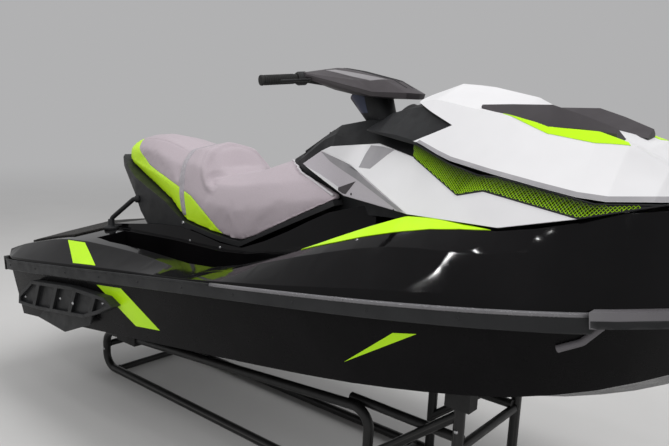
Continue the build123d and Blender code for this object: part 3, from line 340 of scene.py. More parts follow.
FINISH = {
    "hull": "gelcoat_hull", "deck": "gelcoat_black", "rub_rails": "plastic_dark",
    "bow_bumper": "plastic_bumper", "corner_caps": "rubber_black", "sponsons": "plastic_dark",
    "console": "plastic_dark", "side_panel_port": "white_and_painted_highlight", "side_panel_starboard": "white_and_painted_highlight",
    "knee_panel_port": "panel_silver", "knee_panel_starboard": "panel_silver",
    "mesh_panel_port": "plastic_dark", "mesh_panel_starboard": "plastic_dark",
    "seat_cushion": "vinyl_silver", "seat_base": "plastic_dark", "bow_bin": "plastic_dark",
    "hood": "white_and_painted_highlight", "mirror_pods": "plastic_grey", "glovebox_lid": "plastic_dark",
    "gauge": "plastic_dark", "handlebar": "powder_black", "grips": "rubber_black",
    "bar_cover": "plastic_cover_and_painted_shade", "steering_stem": "plastic_dark", "levers": "alloy_black",
    "engine": "alloy_cast", "pump_housing": "alloy_cast", "impeller": "steel_bright",
    "nozzle": "alloy_cast", "reverse_gate": "plastic_dark", "hood_hinge": "steel_bright",
    "footwell_mats": "rubber_mat", "platform_mat": "rubber_mat", "grab_handle": "plastic_dark",
    "bow_eye": "steel_bright", "stern_eyes": "steel_bright", "ride_plate": "alloy_cast",
    "intake_grate": "alloy_cast", "stand_starboard": "powder_black", "stand_port": "powder_black",
    "stand_crossbars": "powder_black", "stand_pads": "rubber_black",
}
BEVEL = 1.2
BEVELS = {
    "hull": 3.0, "deck": 6.0, "hood": 3.0, "engine": 6.0, "stand_pads": 6.0, "corner_caps": 4.0,
    "bow_bumper": 5.0, "rub_rails": 5.0, "sponsons": 2.5, "bar_cover": 6.0, "seat_base": 4.0,
    "gauge": 3.0, "side_panel_port": 2.5, "side_panel_starboard": 2.5, "knee_panel_port": 2.5,
    "knee_panel_starboard": 2.5, "mirror_pods": 3.0,
}
# Edges sharper than this many degrees are rounded
ANGLE = 30
ANGLES = {"hull": 18, "deck": 18}
for node in NODES:
    dress(node, FINISH[node], BEVELS.get(node, BEVEL), ANGLES.get(node, ANGLE))


# Mesh helpers
def new_piece(name, bm, material, body="craft", smooth=True):
    """Object from a bmesh, riding on a body."""
    mesh = bpy.data.meshes.new(name)
    bm.to_mesh(mesh)
    bm.free()
    mesh.polygons.foreach_set("use_smooth", [smooth] * len(mesh.polygons))
    mesh.materials.append(MATERIALS[material])
    obj = bpy.data.objects.new(name, mesh)
    bpy.context.scene.collection.objects.link(obj)
    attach(obj, body)
    return obj


def surface_of(*nodes):
    """One search tree over the surfaces of CAD nodes."""
    points, faces = [], []
    for node in nodes:
        mesh = NODES[node].data
        base = len(points)
        points += [v.co.copy() for v in mesh.vertices]
        faces += [[base + i for i in p.vertices] for p in mesh.polygons]
    return BVHTree.FromPolygons(points, faces)


def surface_of_mesh(mesh):
    return BVHTree.FromPolygons([v.co for v in mesh.vertices], [list(p.vertices) for p in mesh.polygons])


def axes_across(way):
    """Two unit directions square to way and to each other."""
    one = way.orthogonal().normalized()
    return one, way.cross(one).normalized()


def circle(sides):
    """Angles of the points round a circle."""
    return [2 * pi * k / sides for k in range(sides)]


# Rays start this far in front of an inlay's nearest corner, and end this far behind its farthest one
STANDOFF = 0.06
OVERSHOOT = 0.16


def inlay(name, outline, aim, nodes, material, body="craft", cell=0.012, lift=0.0008, deep=0.0026):
    """Thin panels, on both sides, that follow CAD surfaces inside an outline seen along aim."""
    tree = surface_of(*nodes)
    joined = bmesh.new()
    for sign in (1, -1):
        way = along(*aim)
        way.y *= sign
        corners = [craft(s, y * sign, z) for s, y, z in outline]
        flat = [p - way * p.dot(way) for p in corners]
        bm = bmesh.new()
        bm.faces.new([bm.verts.new(p) for p in flat])
        bmesh.ops.triangulate(bm, faces=bm.faces[:])
        for axis in axes_across(way):
            low = min(p.dot(axis) for p in flat)
            high = max(p.dot(axis) for p in flat)
            for k in range(1, int((high - low) / cell) + 1):
                bmesh.ops.bisect_plane(bm, geom=bm.verts[:] + bm.edges[:] + bm.faces[:],
                                       plane_co=axis * (low + k * cell), plane_no=axis, dist=1e-6)
        bmesh.ops.remove_doubles(bm, verts=bm.verts[:], dist=1e-5)
        farthest = max(p.dot(way) for p in corners)
        nearest = min(p.dot(way) for p in corners)
        start = nearest - STANDOFF
        tops = {}
        for v in bm.verts:
            hit = tree.ray_cast(v.co + way * start, way, farthest - nearest + OVERSHOOT)[0]
            if hit is None:
                hit = tree.find_nearest(v.co + way * (start + STANDOFF))[0]
            tops[v] = hit - way * lift
        for v, p in tops.items():
            v.co = p
        bm.normal_update()
        if sum((f.normal.dot(way) * f.calc_area() for f in bm.faces), 0.0) > 0:
            bmesh.ops.reverse_faces(bm, faces=bm.faces[:])
        made = bmesh.ops.extrude_face_region(bm, geom=bm.faces[:])
        outer = {g for g in made["geom"] if isinstance(g, bmesh.types.BMVert)}
        for v in bm.verts:
            if v not in outer:
                v.co += way * deep
        bmesh.ops.recalc_face_normals(bm, faces=bm.faces[:])
        piece = bpy.data.meshes.new("part")
        bm.to_mesh(piece)
        bm.free()
        joined.from_mesh(piece)
        bpy.data.meshes.remove(piece)
    new_piece(name, joined, material, body, smooth=False)


def sweep(bm, line, radius, sides):
    """Closed tube along a line."""
    rings = []
    last = len(line) - 1
    side = None
    for i, p in enumerate(line):
        run = (line[min(i + 1, last)] - line[max(i - 1, 0)]).normalized()
        side = run.orthogonal() if side is None else side - run * side.dot(run)
        side.normalize()
        up = side.cross(run)
        rings.append([bm.verts.new(p + side * (radius * cos(t)) + up * (radius * sin(t)))
                      for t in circle(sides)])
    for a, b in zip(rings, rings[1:]):
        for k in range(sides):
            bm.faces.new((a[k], a[(k + 1) % sides], b[(k + 1) % sides], b[k]))
    bm.faces.new(rings[0][::-1])
    bm.faces.new(rings[-1])


def turned(bm, profile, at, axis, sides):
    """Solid of revolution of (radius, height) pairs round axis."""
    a, b = axes_across(axis)
    rings = []
    for r, h in profile:
        centre = at + axis * h
        if r < 1e-7:
            rings.append([bm.verts.new(centre)])
        else:
            rings.append([bm.verts.new(centre + (a * cos(t) + b * sin(t)) * r) for t in circle(sides)])
    for low, high in zip(rings, rings[1:]):
        for k in range(sides):
            j = (k + 1) % sides
            if len(low) == 1:
                bm.faces.new((low[0], high[j], high[k]))
            elif len(high) == 1:
                bm.faces.new((low[k], low[j], high[0]))
            else:
                bm.faces.new((low[k], low[j], high[j], high[k]))


def head(bm, at, axis, r):
    """Button head with a socket, on a washer."""
    turned(bm, [(0, -r * 0.3), (r * 1.35, -r * 0.3), (r * 1.35, r * 0.16), (r * 1.02, r * 0.2),
                (r, r * 0.3), (r * 0.86, r * 0.62), (r * 0.5, r * 0.74), (r * 0.44, r * 0.70),
                (r * 0.44, r * 0.32), (0, r * 0.32)], at, axis, 16)


def heads(name, places, nodes, material="steel_bright"):
    """Screw heads, on both sides, where rays meet CAD surfaces; places hold craft point, aim, radius."""
    tree = surface_of(*nodes)
    bm = bmesh.new()
    for (s, y, z), aim, r in places:
        for sign in (1, -1):
            p = craft(s, y * sign, z)
            way = along(*aim)
            way.y *= sign
            hit, normal = tree.ray_cast(p - way * 0.08, way, 0.3)[:2]
            if hit is None:
                hit, normal = tree.find_nearest(p)[:2]
            if normal.dot(way) > 0:
                normal = -normal
            head(bm, hit, normal, r / 1000)
    new_piece(name, bm, material)


def smooth_line(points, step):
    """Points along a rounded line through the given ones, about step apart."""
    padded = [points[0] * 2 - points[1]] + list(points) + [points[-1] * 2 - points[-2]]
    line = []
    for a, b, c, d in zip(padded, padded[1:], padded[2:], padded[3:]):
        count = max(1, ceil((c - b).length / step))
        for k in range(count):
            t = k / count
            line.append(0.5 * (2 * b + (c - a) * t + (2 * a - 5 * b + 4 * c - d) * t ** 2
                               + (3 * b - a - 3 * c + d) * t ** 3))
    return line + [points[-1].copy()]


def settle(obj):
    """Apply the object's modifiers, and return its new mesh."""
    graph = bpy.context.evaluated_depsgraph_get()
    mesh = bpy.data.meshes.new_from_object(obj.evaluated_get(graph))
    old = obj.data
    obj.modifiers.clear()
    obj.data = mesh
    bpy.data.meshes.remove(old)
    return mesh


# Seat
# Seam between lime and silver, seen from the side: s, z
SEAM = [(566, 1200), (566, 1019), (579, 1016), (596, 965), (650, 925), (735, 874), (880, 824), (1005, 775),
        (1120, 728), (1218, 652), (1330, 548)]


def seam_z(s):
    for (s0, z0), (s1, z1) in zip(SEAM[1:], SEAM[2:]):
        if s <= s1:
            return z0 + (z1 - z0) * (s - s0) / (s1 - s0)
    return 0.0


def is_lime(point):
    s, z = side_view(point)
    return s < SEAM[1][0] or z < seam_z(s)


def cut_along(bm, line):
    """Cut the mesh along a line of (s, z), seen from the side."""
    for (s0, z0), (s1, z1) in zip(line, line[1:]):
        a, b = craft(s0, 0, z0), craft(s1, 0, z1)
        run = b - a
        long = run.length
        run.normalize()
        normal = run.cross(Vector((0, 1, 0)))
        near = []
        for f in bm.faces:
            c = f.calc_center_median() - a
            if -0.012 < c.dot(run) < long + 0.012 and abs(c.dot(normal)) < 0.014:
                near.append(f)
        geom = set(near)
        for f in near:
            geom.update(f.edges)
            geom.update(f.verts)
        bmesh.ops.bisect_plane(bm, geom=list(geom), plane_co=a, plane_no=normal, dist=0.0004)


# Forms of the cushion, one side: s, y, z. The bolster's rim, the crease at its foot, and sewn lines
BOLSTER_RIM = [(1138, 0, 950), (1143, 60, 944), (1153, 122, 915), (1173, 182, 850), (1211, 210, 777),
               (1273, 222, 743)]
BOLSTER_FOOT = [(1266, 0, 822), (1261, 63, 820), (1243, 130, 812), (1219, 172, 806), (1232, 196, 782),
                (1276, 206, 768)]
TAIL_SEAM = [(478, 0, 1006), (484, 40, 1002), (520, 70, 1008), (607, 88, 1012), (720, 100, 1000),
             (834, 112, 978), (936, 122, 946), (990, 126, 924)]
# Line, width and height of each form, in millimetres
FORMS = ((BOLSTER_RIM, 28, 8.5), (BOLSTER_FOOT, 36, -10.0), (BOLSTER_FOOT, 9, -2.5), (TAIL_SEAM, 7, -2.4))
# Length over which a form fades at its end
FORM_FADE = 0.06
# The pad starts this much inside its CAD space, and its filling moves it outwards by at most SWELL
SHRINK = 0.0035
SWELL = 0.007
CLOTH_FRAMES = 20
CLOTH = {
    "quality": 4, "mass": 0.4, "tension_stiffness": 40, "compression_stiffness": 40,
    "shear_stiffness": 20, "bending_stiffness": 6, "use_pressure": True, "uniform_pressure_force": 4.0,
}
# Depths of the sewn seam and of the points beside it
SEAM_DEEP = 0.0022
SEAM_EDGE = 0.0007


def emboss(mesh, line, wide, high):
    """Raise or press the surface along a line, on both sides of the middle, less and less towards its end."""
    tree = surface_of_mesh(mesh)
    places = []
    shares = []
    for sign in (1, -1):
        given = smooth_line([craft(s, y * sign, z) for s, y, z in line], wide / 3)
        for p in given:
            places.append(tree.find_nearest(p)[0])
            shares.append(min(1.0, (p - given[-1]).length / FORM_FADE))
    near = KDTree(len(places))
    for i, p in enumerate(places):
        near.insert(p, i)
    near.balance()
    mesh.update()
    for v, n in zip(mesh.vertices, [v.normal.copy() for v in mesh.vertices]):
        _, i, far = near.find(v.co)
        if far < wide:
            v.co += n * (high * shares[i] * (0.5 + 0.5 * cos(pi * far / wide)))


def limit_moves(mesh, rest, tree):
    """Hold each point within SWELL of its rest place, and the base of the pad still."""
    for v, home in zip(mesh.vertices, rest):
        move = v.co - home
        normal = tree.find_nearest(home)[1]
        cap = SWELL * max(0.0, min(1.0, (normal.z + 0.45) / 0.5)) if normal else 0.0
        if move.length > cap:
            v.co = home + (move.normalized() * cap if cap > 0 else move * 0)


def make_seat():
    """The padded seat, in the place of the solid cushion."""
    tree = surface_of("seat_cushion")
    pad = bpy.data.objects.new("seat_pad", NODES["seat_cushion"].data.copy())
    bpy.context.scene.collection.objects.link(pad)
    weld = pad.modifiers.new("weld", "WELD")
    weld.merge_threshold = 0.0002
    shape = pad.modifiers.new("remesh", "REMESH")
    shape.mode = "VOXEL"
    shape.voxel_size = 0.0098
    soften = pad.modifiers.new("soften", "SMOOTH")
    soften.factor = 0.5
    soften.iterations = 9
    mesh = settle(pad)
    rest = []
    for v, n in zip(mesh.vertices, [v.normal.copy() for v in mesh.vertices]):
        v.co -= n * SHRINK
        rest.append(v.co.copy())
    cloth = pad.modifiers.new("filling", "CLOTH")
    for key, value in CLOTH.items():
        setattr(cloth.settings, key, value)
    cloth.settings.effector_weights.gravity = 0.0
    cloth.collision_settings.use_collision = False
    cloth.point_cache.frame_start = 1
    cloth.point_cache.frame_end = CLOTH_FRAMES
    for number in range(1, CLOTH_FRAMES + 1):
        bpy.context.scene.frame_set(number)
    mesh = settle(pad)
    bpy.context.scene.frame_set(1)
    limit_moves(mesh, rest, tree)
    fine = pad.modifiers.new("fine", "SUBSURF")
    fine.levels = 1
    fine.render_levels = 1
    mesh = settle(pad)

    for line, wide, high in FORMS:
        emboss(mesh, line, wide / 1000, high / 1000)
    mesh.materials.clear()
    mesh.materials.append(MATERIALS["vinyl_silver"])
    mesh.materials.append(MATERIALS["vinyl_lime"])
    bm = bmesh.new()
    bm.from_mesh(mesh)
    cut_along(bm, SEAM)
    bm.normal_update()
    for f in bm.faces:
        f.material_index = 1 if is_lime(f.calc_center_median()) else 0
    seam = [v for v in bm.verts if len({f.material_index for f in v.link_faces}) == 2]
    moves = {v: v.normal * -SEAM_DEEP for v in seam}
    for v in seam:
        for e in v.link_edges:
            other = e.other_vert(v)
            if other not in moves:
                moves[other] = other.normal * -SEAM_EDGE
    for v, move in moves.items():
        v.co += move
    bm.to_mesh(mesh)
    bm.free()
    mesh.polygons.foreach_set("use_smooth", [True] * len(mesh.polygons))
    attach(pad, "craft")
    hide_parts("seat_cushion")
    return surface_of_mesh(mesh)


SEAT_SKIN = make_seat()


def on_seat(s, z, sign):
    """Point and normal on the seat's side at station s and height z."""
    return SEAT_SKIN.ray_cast(craft(s, sign * 400, z), Vector((0, -sign, 0)), 0.4)[:2]


def stitches(name, line, offsets, material):
    """Rows of thread beside a seam given as (s, z)."""
    bm = bmesh.new()
    for sign in (1, -1):
        for drop in offsets:
            places = []
            for (s0, z0), (s1, z1) in zip(line, line[1:]):
                count = int(max(1, sqrt((s1 - s0) ** 2 + (z1 - z0) ** 2) / 3.6))
                for k in range(count):
                    t = k / count
                    hit, normal = on_seat(s0 + (s1 - s0) * t, z0 + (z1 - z0) * t + drop, sign)
                    if hit is not None:
                        places.append((hit, normal))
            for (p, n), (q, k) in zip(places[::2], places[1::2]):
                if (q - p).length < 0.009:
                    middle = (p + q) / 2 + n * 0.0004
                    sweep(bm, [p - n * 0.0003, middle, q - n * 0.0003], 0.0005, 5)
    new_piece(name, bm, material)


stitches("seat_stitches", SEAM[3:-1], (7, -7), "thread")


# The strap: place across its width and height above the seat, then height and station along it
STRAP_SECTION = ((-20, 0.2), (-18.5, 1.6), (-9, 2.3), (0, 2.5), (9, 2.3), (18.5, 1.6), (20, 0.2))
STRAP_LEANS = [(951, 1000), (881, 1012), (780, 1036), (628, 1064)]
STRAP_CENTRE = 720
STRAP_TURN = 109
STRAP_STEPS = 72


def make_strap():
    """Flat strap across the seat, with its ends on the seat's base."""
    bm = bmesh.new()
    rows = []
    for i in range(STRAP_STEPS + 1):
        angle = radians(-STRAP_TURN + 2 * STRAP_TURN * i / STRAP_STEPS)
        out = Vector((0, sin(angle), cos(angle)))
        station = 1010.0
        for _ in range(3):
            hit = SEAT_SKIN.ray_cast(craft(station, 0, STRAP_CENTRE) + out * 0.5, -out, 0.6)[0]
            if hit is None:
                break
            z = side_view(hit)[1]
            for (z0, s0), (z1, s1) in zip(STRAP_LEANS, STRAP_LEANS[1:]):
                if z >= z1:
                    break
            station = s0 + (s1 - s0) * (z0 - z) / (z0 - z1)
            station = min(max(station, 998), 1066)
        row = []
        for w, up in STRAP_SECTION:
            centre = craft(station + w, 0, STRAP_CENTRE)
            hit = SEAT_SKIN.ray_cast(centre + out * 0.5, -out, 0.6)[0]
            if hit is None:
                hit = centre + out * 0.2
            row.append(bm.verts.new(hit + out * (up / 1000)))
        rows.append(row)
    for a, b in zip(rows, rows[1:]):
        for k in range(len(STRAP_SECTION) - 1):
            bm.faces.new((a[k], a[k + 1], b[k + 1], b[k]))
    bmesh.ops.recalc_face_normals(bm, faces=bm.faces[:])
    strap = new_piece("seat_strap", bm, "webbing")
    thick = strap.modifiers.new("thickness", "SOLIDIFY")
    thick.thickness = 0.0022
    thick.offset = 1.0 if sum(p.normal.z for p in strap.data.polygons) < 0 else -1.0


make_strap()
heads("strap_screws", [((1066, 300, 612), (0, -1, 0), 6.5)], ("seat_base",))

# The seat's front edge, one side: s, y, z
FRONT_EDGE = ((1535, 12, 856), (1600, 58, 836), (1680, 102, 809), (1800, 153, 762), (1890, 189, 728))


def seat_piping():
    """Pale welt along the seat's front edges, beside the knee panels."""
    bm = bmesh.new()
    for sign in (1, -1):
        line = []
        for p in smooth_line([craft(s, y * sign, z) for s, y, z in FRONT_EDGE], 0.012):
            hit, normal = SEAT_SKIN.find_nearest(p)[:2]
            line.append(hit + normal * 0.002)
        sweep(bm, line, 0.0052, 12)
    new_piece("seat_front_piping", bm, "vinyl_pale")


seat_piping()


# Lime and grey inlays, some of them painted shade, highlight and reflection
SIDEWAYS = (0, -1, 0)
SIDE_PANELS = ("side_panel_port", "side_panel_starboard")
KNEES = ("knee_panel_port", "knee_panel_starboard")
HOOD_LOW = [(2318, 291, 892), (2403, 310, 851), (2455, 322, 829), (2600, 358, 789), (2740, 386, 753),
            (2850, 400, 725), (2924, 400, 713), (3018, 345, 707), (3060, 280, 701)]
# Height of the grey strip painted along the hood's lower edge as shade of its lower bevel
RIM_SHADE_HIGH = 11
inlay("hull_flash_rear", [(935, 600, 391), (1111, 600, 390), (1316, 575, 238), (1158, 575, 237)],
      SIDEWAYS, ("hull",), "lime_gloss")
inlay("hull_flash_front", [(2204, 555, 247), (2395, 566, 362), (2468, 557, 366)],
      SIDEWAYS, ("hull",), "lime_gloss")
inlay("deck_flash_rear", [(557, 504, 552), (704, 505, 546), (925, 592, 469), (745, 592, 470)],
      (0, -0.6, -0.8), ("deck",), "lime_gloss")
inlay("deck_flash_front", [(1960, 451, 560), (2060, 428, 586), (2200, 398, 630), (2335, 374, 674),
                           (2461, 398, 673), (2572, 427, 660), (2645, 452, 642), (2547, 441, 642),
                           (2447, 434, 639), (2346, 437, 629), (2240, 444, 615), (2109, 453, 590)],
      (0, -0.5, -0.85), ("deck",), "lime_gloss", cell=0.008, lift=0.0024, deep=0.005)
inlay("hood_flash", [(2580, 221, 956), (2700, 227, 923), (2800, 213, 903), (2905, 182, 867), (2928, 206, 842),
                     (2850, 248, 862), (2724, 254, 891)],
      (0, -0.55, -0.83), ("hood",), "lime_gloss", "hood_body", cell=0.006, lift=0.0018, deep=0.004)
# Grey strip along the white hood's lower edge: painted shade of the hood's down-facing lower bevel
inlay("hood_rim_painted_shade", HOOD_LOW + [(s, y, z + RIM_SHADE_HIGH) for s, y, z in reversed(HOOD_LOW)],
      SIDEWAYS, ("hood",), "grey_trim_and_painted_shade", "hood_body", cell=0.014)
inlay("bumper_skirt", [(2921, 520, 424), (3330, 90, 424), (3330, 90, 443), (2921, 520, 443)],
      SIDEWAYS, ("bow_bumper",), "plastic_dark")
# Grey patch on the white side panels' scoop: painted shade of the recess
inlay("panel_scoop_painted_shade", [(2051, 236, 819), (2063, 213, 860), (2079, 190, 892), (2140, 205, 885),
                      (2198, 215, 871), (2171, 231, 856), (2109, 249, 813)],
      SIDEWAYS, SIDE_PANELS, "grey_trim_and_painted_shade", cell=0.01)
inlay("knee_border", [(1788, 123, 884), (1886, 162, 859), (2007, 222, 827), (2111, 272, 773),
                      (2230, 328, 718), (2310, 360, 682), (2290, 355, 681), (2182, 307, 724),
                      (2048, 245, 778), (1954, 202, 810), (1860, 158, 845)],
      SIDEWAYS, KNEES, "grey_trim_and_painted_shade", cell=0.01)
# Dark patch in the knee panels' notch: painted shade of the indent
inlay("knee_notch_painted_shade", [(1922, 195, 750), (2039, 242, 772), (1972, 217, 727), (1950, 207, 729),
                     (1922, 197, 740)], SIDEWAYS, KNEES, "plastic_cover_and_painted_shade", cell=0.01)
# White strip along the knee panels' upper facet edge: a painted highlight
inlay("knee_edge_painted_highlight", [(1676, 100, 837), (1800, 145, 798), (1922, 195, 751), (1922, 198, 737),
                    (1800, 147, 786), (1690, 105, 831)], SIDEWAYS, KNEES, "white_and_painted_highlight", cell=0.01)
inlay("cover_pad", [(1851, 143, 1177), (1862, 104, 1180), (1954, 73, 1156), (2059, 51, 1123),
                    (2018, 101, 1123), (1925, 125, 1153)],
      (0, 0, -1), ("bar_cover",), "pad_pale", "steering", lift=0.0016)
# Blue-grey face on the steering stem: a painted reflection
inlay("stem_painted_reflection", [(1902, 60, 1086), (1976, 60, 1082), (1972, 60, 1014), (1918, 60, 1018)],
      (0.5, -0.87, 0), ("steering_stem",), "blue_painted_reflection", "steering", cell=0.008)


# Grille lattice
def line_z(points, s):
    """Height at station s of a line through points whose first number is s and last is z."""
    for a, b in zip(points, points[1:]):
        if s <= b[0]:
            break
    return a[-1] + (b[-1] - a[-1]) * (s - a[0]) / (b[0] - a[0])


# The grille panel's corners, one side: along its lower edge, then along its upper edge
GRILLE_LOW = [(2292, 262, 843), (2502, 370, 729), (2600, 402, 742), (2872, 440, 673), (3056, 352, 700)]
GRILLE_TOP = [(2312, 290, 890), (2455, 322, 820), (2560, 352, 786), (2625, 362, 778), (2900, 408, 708)]
GRILLE_FACES = [(0, 5, 6), (0, 6, 1), (1, 6, 7), (1, 7, 2), (7, 8, 2), (2, 8, 9), (2, 9, 3), (3, 9, 4)]
GRILLE_HIGH = GRILLE_TOP + GRILLE_LOW[-1:]
# Stations between which the lattice runs, the slope of its rear edge, and the pitch of its strands
GRILLE_REAR = 2296
GRILLE_FRONT = 3050
REAR_SLOPE = 2.35
STRAND_PITCH = 9.4


def strand_place(i, j):
    """Station and height of a crossing of the lattice."""
    return GRILLE_LOW[0][0] + (i + j) * STRAND_PITCH / 2, 640 + (j - i) * STRAND_PITCH / 2


def in_grille(i, j):
    s, z = strand_place(i, j)
    if not GRILLE_REAR < s < GRILLE_FRONT:
        return False
    rear_s, _, rear_z = GRILLE_LOW[0]
    top = line_z(GRILLE_HIGH, s) if s > GRILLE_TOP[0][0] else rear_z + (s - rear_s) * REAR_SLOPE
    return line_z(GRILLE_LOW, s) + 1 < z < top - 1


def make_grille(side_name, sign):
    """Fine lattice over the slotted panel; its painted shade from the hood runs from 0 at the lower edge to 1
    at the upper, and darkens it towards the top.
    """
    tree = BVHTree.FromPolygons([craft(s, y * sign, z) for s, y, z in GRILLE_LOW + GRILLE_TOP], GRILLE_FACES)
    bm = bmesh.new()
    # Painted shade for each point: 0 at the panel's lower edge, 1 at the upper edge under the hood
    shade = bm.verts.layers.float.new("hood_shade")
    grid = {}

    def on_panel(s, z):
        return tree.ray_cast(craft(s, sign * 600, z), Vector((0, -sign, 0)), 0.6)[0]

    def corner(i, j):
        if (i, j) not in grid:
            s, z = strand_place(i, j)
            v = bm.verts.new(on_panel(s, z) + Vector((0, sign * 0.0022, 0)))
            low, high = line_z(GRILLE_LOW, s), line_z(GRILLE_HIGH, s)
            v[shade] = max(0.0, min(1.0, (z - low) / max(30.0, high - low)))
            grid[(i, j)] = v
        return grid[(i, j)]

    for i in range(-60, 220):
        for j in range(-60, 260):
            ring = ((i, j), (i + 1, j), (i + 1, j + 1), (i, j + 1))
            if all(in_grille(*p) for p in ring):
                bm.faces.new([corner(*p) for p in ring])
    bm.normal_update()
    obj = new_piece("grille_" + side_name, bm, "lime_mesh", smooth=False)
    wire = obj.modifiers.new("strands", "WIREFRAME")
    wire.thickness = 0.0025
    wire.use_even_offset = False
    wire.use_boundary = True
    rim = bmesh.new()
    for edge, shift in ((GRILLE_LOW, 1.5), (GRILLE_HIGH, -1.5)):
        hits = [on_panel(s, line_z(edge, s) + shift) for s in range(edge[0][0] + 4, GRILLE_FRONT, 8)]
        sweep(rim, [p + Vector((0, sign * 0.001, 0)) for p in hits if p is not None], 0.0024, 8)
    new_piece("grille_rim_" + side_name, rim, "plastic_dark")


make_grille("port", 1)
make_grille("starboard", -1)


# Controls
def grip_axis(sign):
    """Outer end, inner end and direction of a grip."""
    end, root = craft(1766, sign * 392, 1138), craft(1816, sign * 252, 1146)
    return end, root, (root - end).normalized()


def grip_detail():
    """Ribs round both grips, a flange at each inner end and a cap at each outer end."""
    bm = bmesh.new()
    for sign in (1, -1):
        end, root, run = grip_axis(sign)
        long = (root - end).length
        for k in range(17):
            turned(bm, [(0.0160, -0.0021), (0.0178, -0.0015), (0.0184, 0.0), (0.0178, 0.0015),
                        (0.0160, 0.0021)], end + run * (0.012 + k * 0.0068), run, 28)
        turned(bm, [(0.013, long - 0.010), (0.0215, long - 0.010), (0.0225, long - 0.008),
                    (0.0215, long - 0.0055), (0.013, long - 0.0055)], end, run, 32)
        turned(bm, [(0.0, -0.0058), (0.012, -0.0056), (0.0172, -0.0046), (0.0186, -0.0024),
                    (0.0186, 0.004), (0.0165, 0.0055)], end, run, 28)
    new_piece("grip_ribs", bm, "rubber_black", "steering")


def cover_seams():
    """Raised spine and parting lines on the bar cover."""
    tree = surface_of("bar_cover")
    bm = bmesh.new()
    for start, end in (((1826, 6), (2080, 6)), ((1812, 24), (2120, 20))):
        for sign in (1, -1):
            line = []
            for k in range(40):
                t = k / 39
                s, y = start[0] + (end[0] - start[0]) * t, start[1] + (end[1] - start[1]) * t
                hit = tree.ray_cast(craft(s, sign * y, 1300), along(0, 0, -1), 0.4)[0]
                if hit is not None:
                    line.append(hit)
            if len(line) > 2:
                sweep(bm, line, 0.0014, 8)
    new_piece("cover_seams", bm, "plastic_dark", "steering")


def switch_blocks():
    """Switch housings inboard of the grips, with their buttons."""
    bm = bmesh.new()
    keys = bmesh.new()
    up = along(-0.5, 0, 0.85)
    for sign in (1, -1):
        _, root, run = grip_axis(sign)
        turned(bm, [(0.0, -0.004), (0.022, -0.004), (0.0245, 0.0), (0.0245, 0.026), (0.022, 0.030),
                    (0.0, 0.030)], root - run * 0.004, run, 24)
        for shift in (0.006, 0.019):
            turned(keys, [(0.0, 0.0275), (0.0042, 0.0270), (0.0050, 0.0255), (0.0050, 0.018)],
                   root + run * shift, (up - run * up.dot(run)).normalized(), 16)
    new_piece("switch_housings", bm, "plastic_dark", "steering")
    new_piece("switch_buttons", keys, "plastic_grey", "steering")


def instrument():
    """Round instrument on the cowl, facing the rider, with a bezel, marks and a needle."""
    at, normal = surface_of("gauge").ray_cast(craft(2106, 0, 1200), along(0, 0, -1), 0.5)[:2]
    face = (normal + along(-1, 0, 0.4) * 0.6).normalized()
    if face.z < 0:
        face = -face
    at = at + face * 0.004
    across = Vector((0, 1, 0))
    up = face.cross(across).normalized()

    def outward(degrees):
        turn = radians(degrees)
        return up * cos(turn) + across * sin(turn)

    ring = bmesh.new()
    turned(ring, [(0.0, -0.02), (0.050, -0.02), (0.052, 0.002), (0.050, 0.007), (0.046, 0.0075),
                  (0.0445, 0.003)], at, face, 48)
    new_piece("instrument_bezel", ring, "plastic_grey")
    glass = bmesh.new()
    turned(glass, [(0.0445, 0.001), (0.0445, 0.0034), (0.02, 0.0040), (0.0, 0.0042)], at, face, 48)
    new_piece("instrument_face", glass, "dial_face")
    marks = bmesh.new()
    for k in range(25):
        out = outward(-130 + 260 * k / 24)
        root, thick = (0.034, 0.0006) if k % 4 == 0 else (0.0375, 0.0004)
        sweep(marks, [at + out * root + face * 0.0042, at + out * 0.041 + face * 0.0038], thick, 5)
    out = outward(-130)
    sweep(marks, [at + face * 0.0052, at + out * 0.032 + face * 0.0048], 0.0009, 6)
    turned(marks, [(0.0, 0.0062), (0.003, 0.006), (0.004, 0.005), (0.004, 0.0035)], at, face, 16)
    new_piece("instrument_marks", marks, "dial_mark")


grip_detail()
cover_seams()
switch_blocks()
instrument()


# Fittings
heads("sponson_screws", [((656, 640, 312), SIDEWAYS, 5), ((790, 640, 306), SIDEWAYS, 5),
                         ((1000, 640, 322), SIDEWAYS, 5), ((330, 640, 290), SIDEWAYS, 5)], ("sponsons",))
heads("deck_screws", [((680, 328, 560), (0, 0, -1), 4), ((1117, 262, 580), (0, -0.3, -1), 4),
                      ((1312, 262, 560), (0, -0.3, -1), 4), ((2200, 470, 640), (0, -0.4, -1), 4)], ("deck",))
heads("rail_screws", [((s, 660, 430), SIDEWAYS, 3.6) for s in range(180, 2880, 270)], ("rub_rails",),
      "plastic_dark")
heads("knee_screws", [((2010, 300, 728), SIDEWAYS, 3.6), ((2262, 420, 682), SIDEWAYS, 3.6)], KNEES,
      "plastic_dark")

RAIL_TOP = 452.5


def rail_bead(name, start, end, radius, material):
    """Bead along the upper edge of the rub rails, from one station to another."""
    tree = surface_of("rub_rails")
    bm = bmesh.new()
    for sign in (1, -1):
        line = []
        for s in range(start, end, 24):
            hit = tree.ray_cast(craft(s, sign * 700, 440), Vector((0, -sign, 0)), 0.4)[0]
            if hit is not None:
                p = craft(s, 0, RAIL_TOP)
                line.append(Vector((p.x, hit.y - sign * 0.002, p.z)))
        sweep(bm, line, radius, 12)
    new_piece(name, bm, material)


# The front bead is lighter than the rear one: a painted highlight along the rail's top towards the bow
rail_bead("rail_bead_rear", 104, 1690, 0.0050, "plastic_dark")
rail_bead("rail_bead_painted_highlight", 1688, 2915, 0.0068, "bead_painted_highlight")


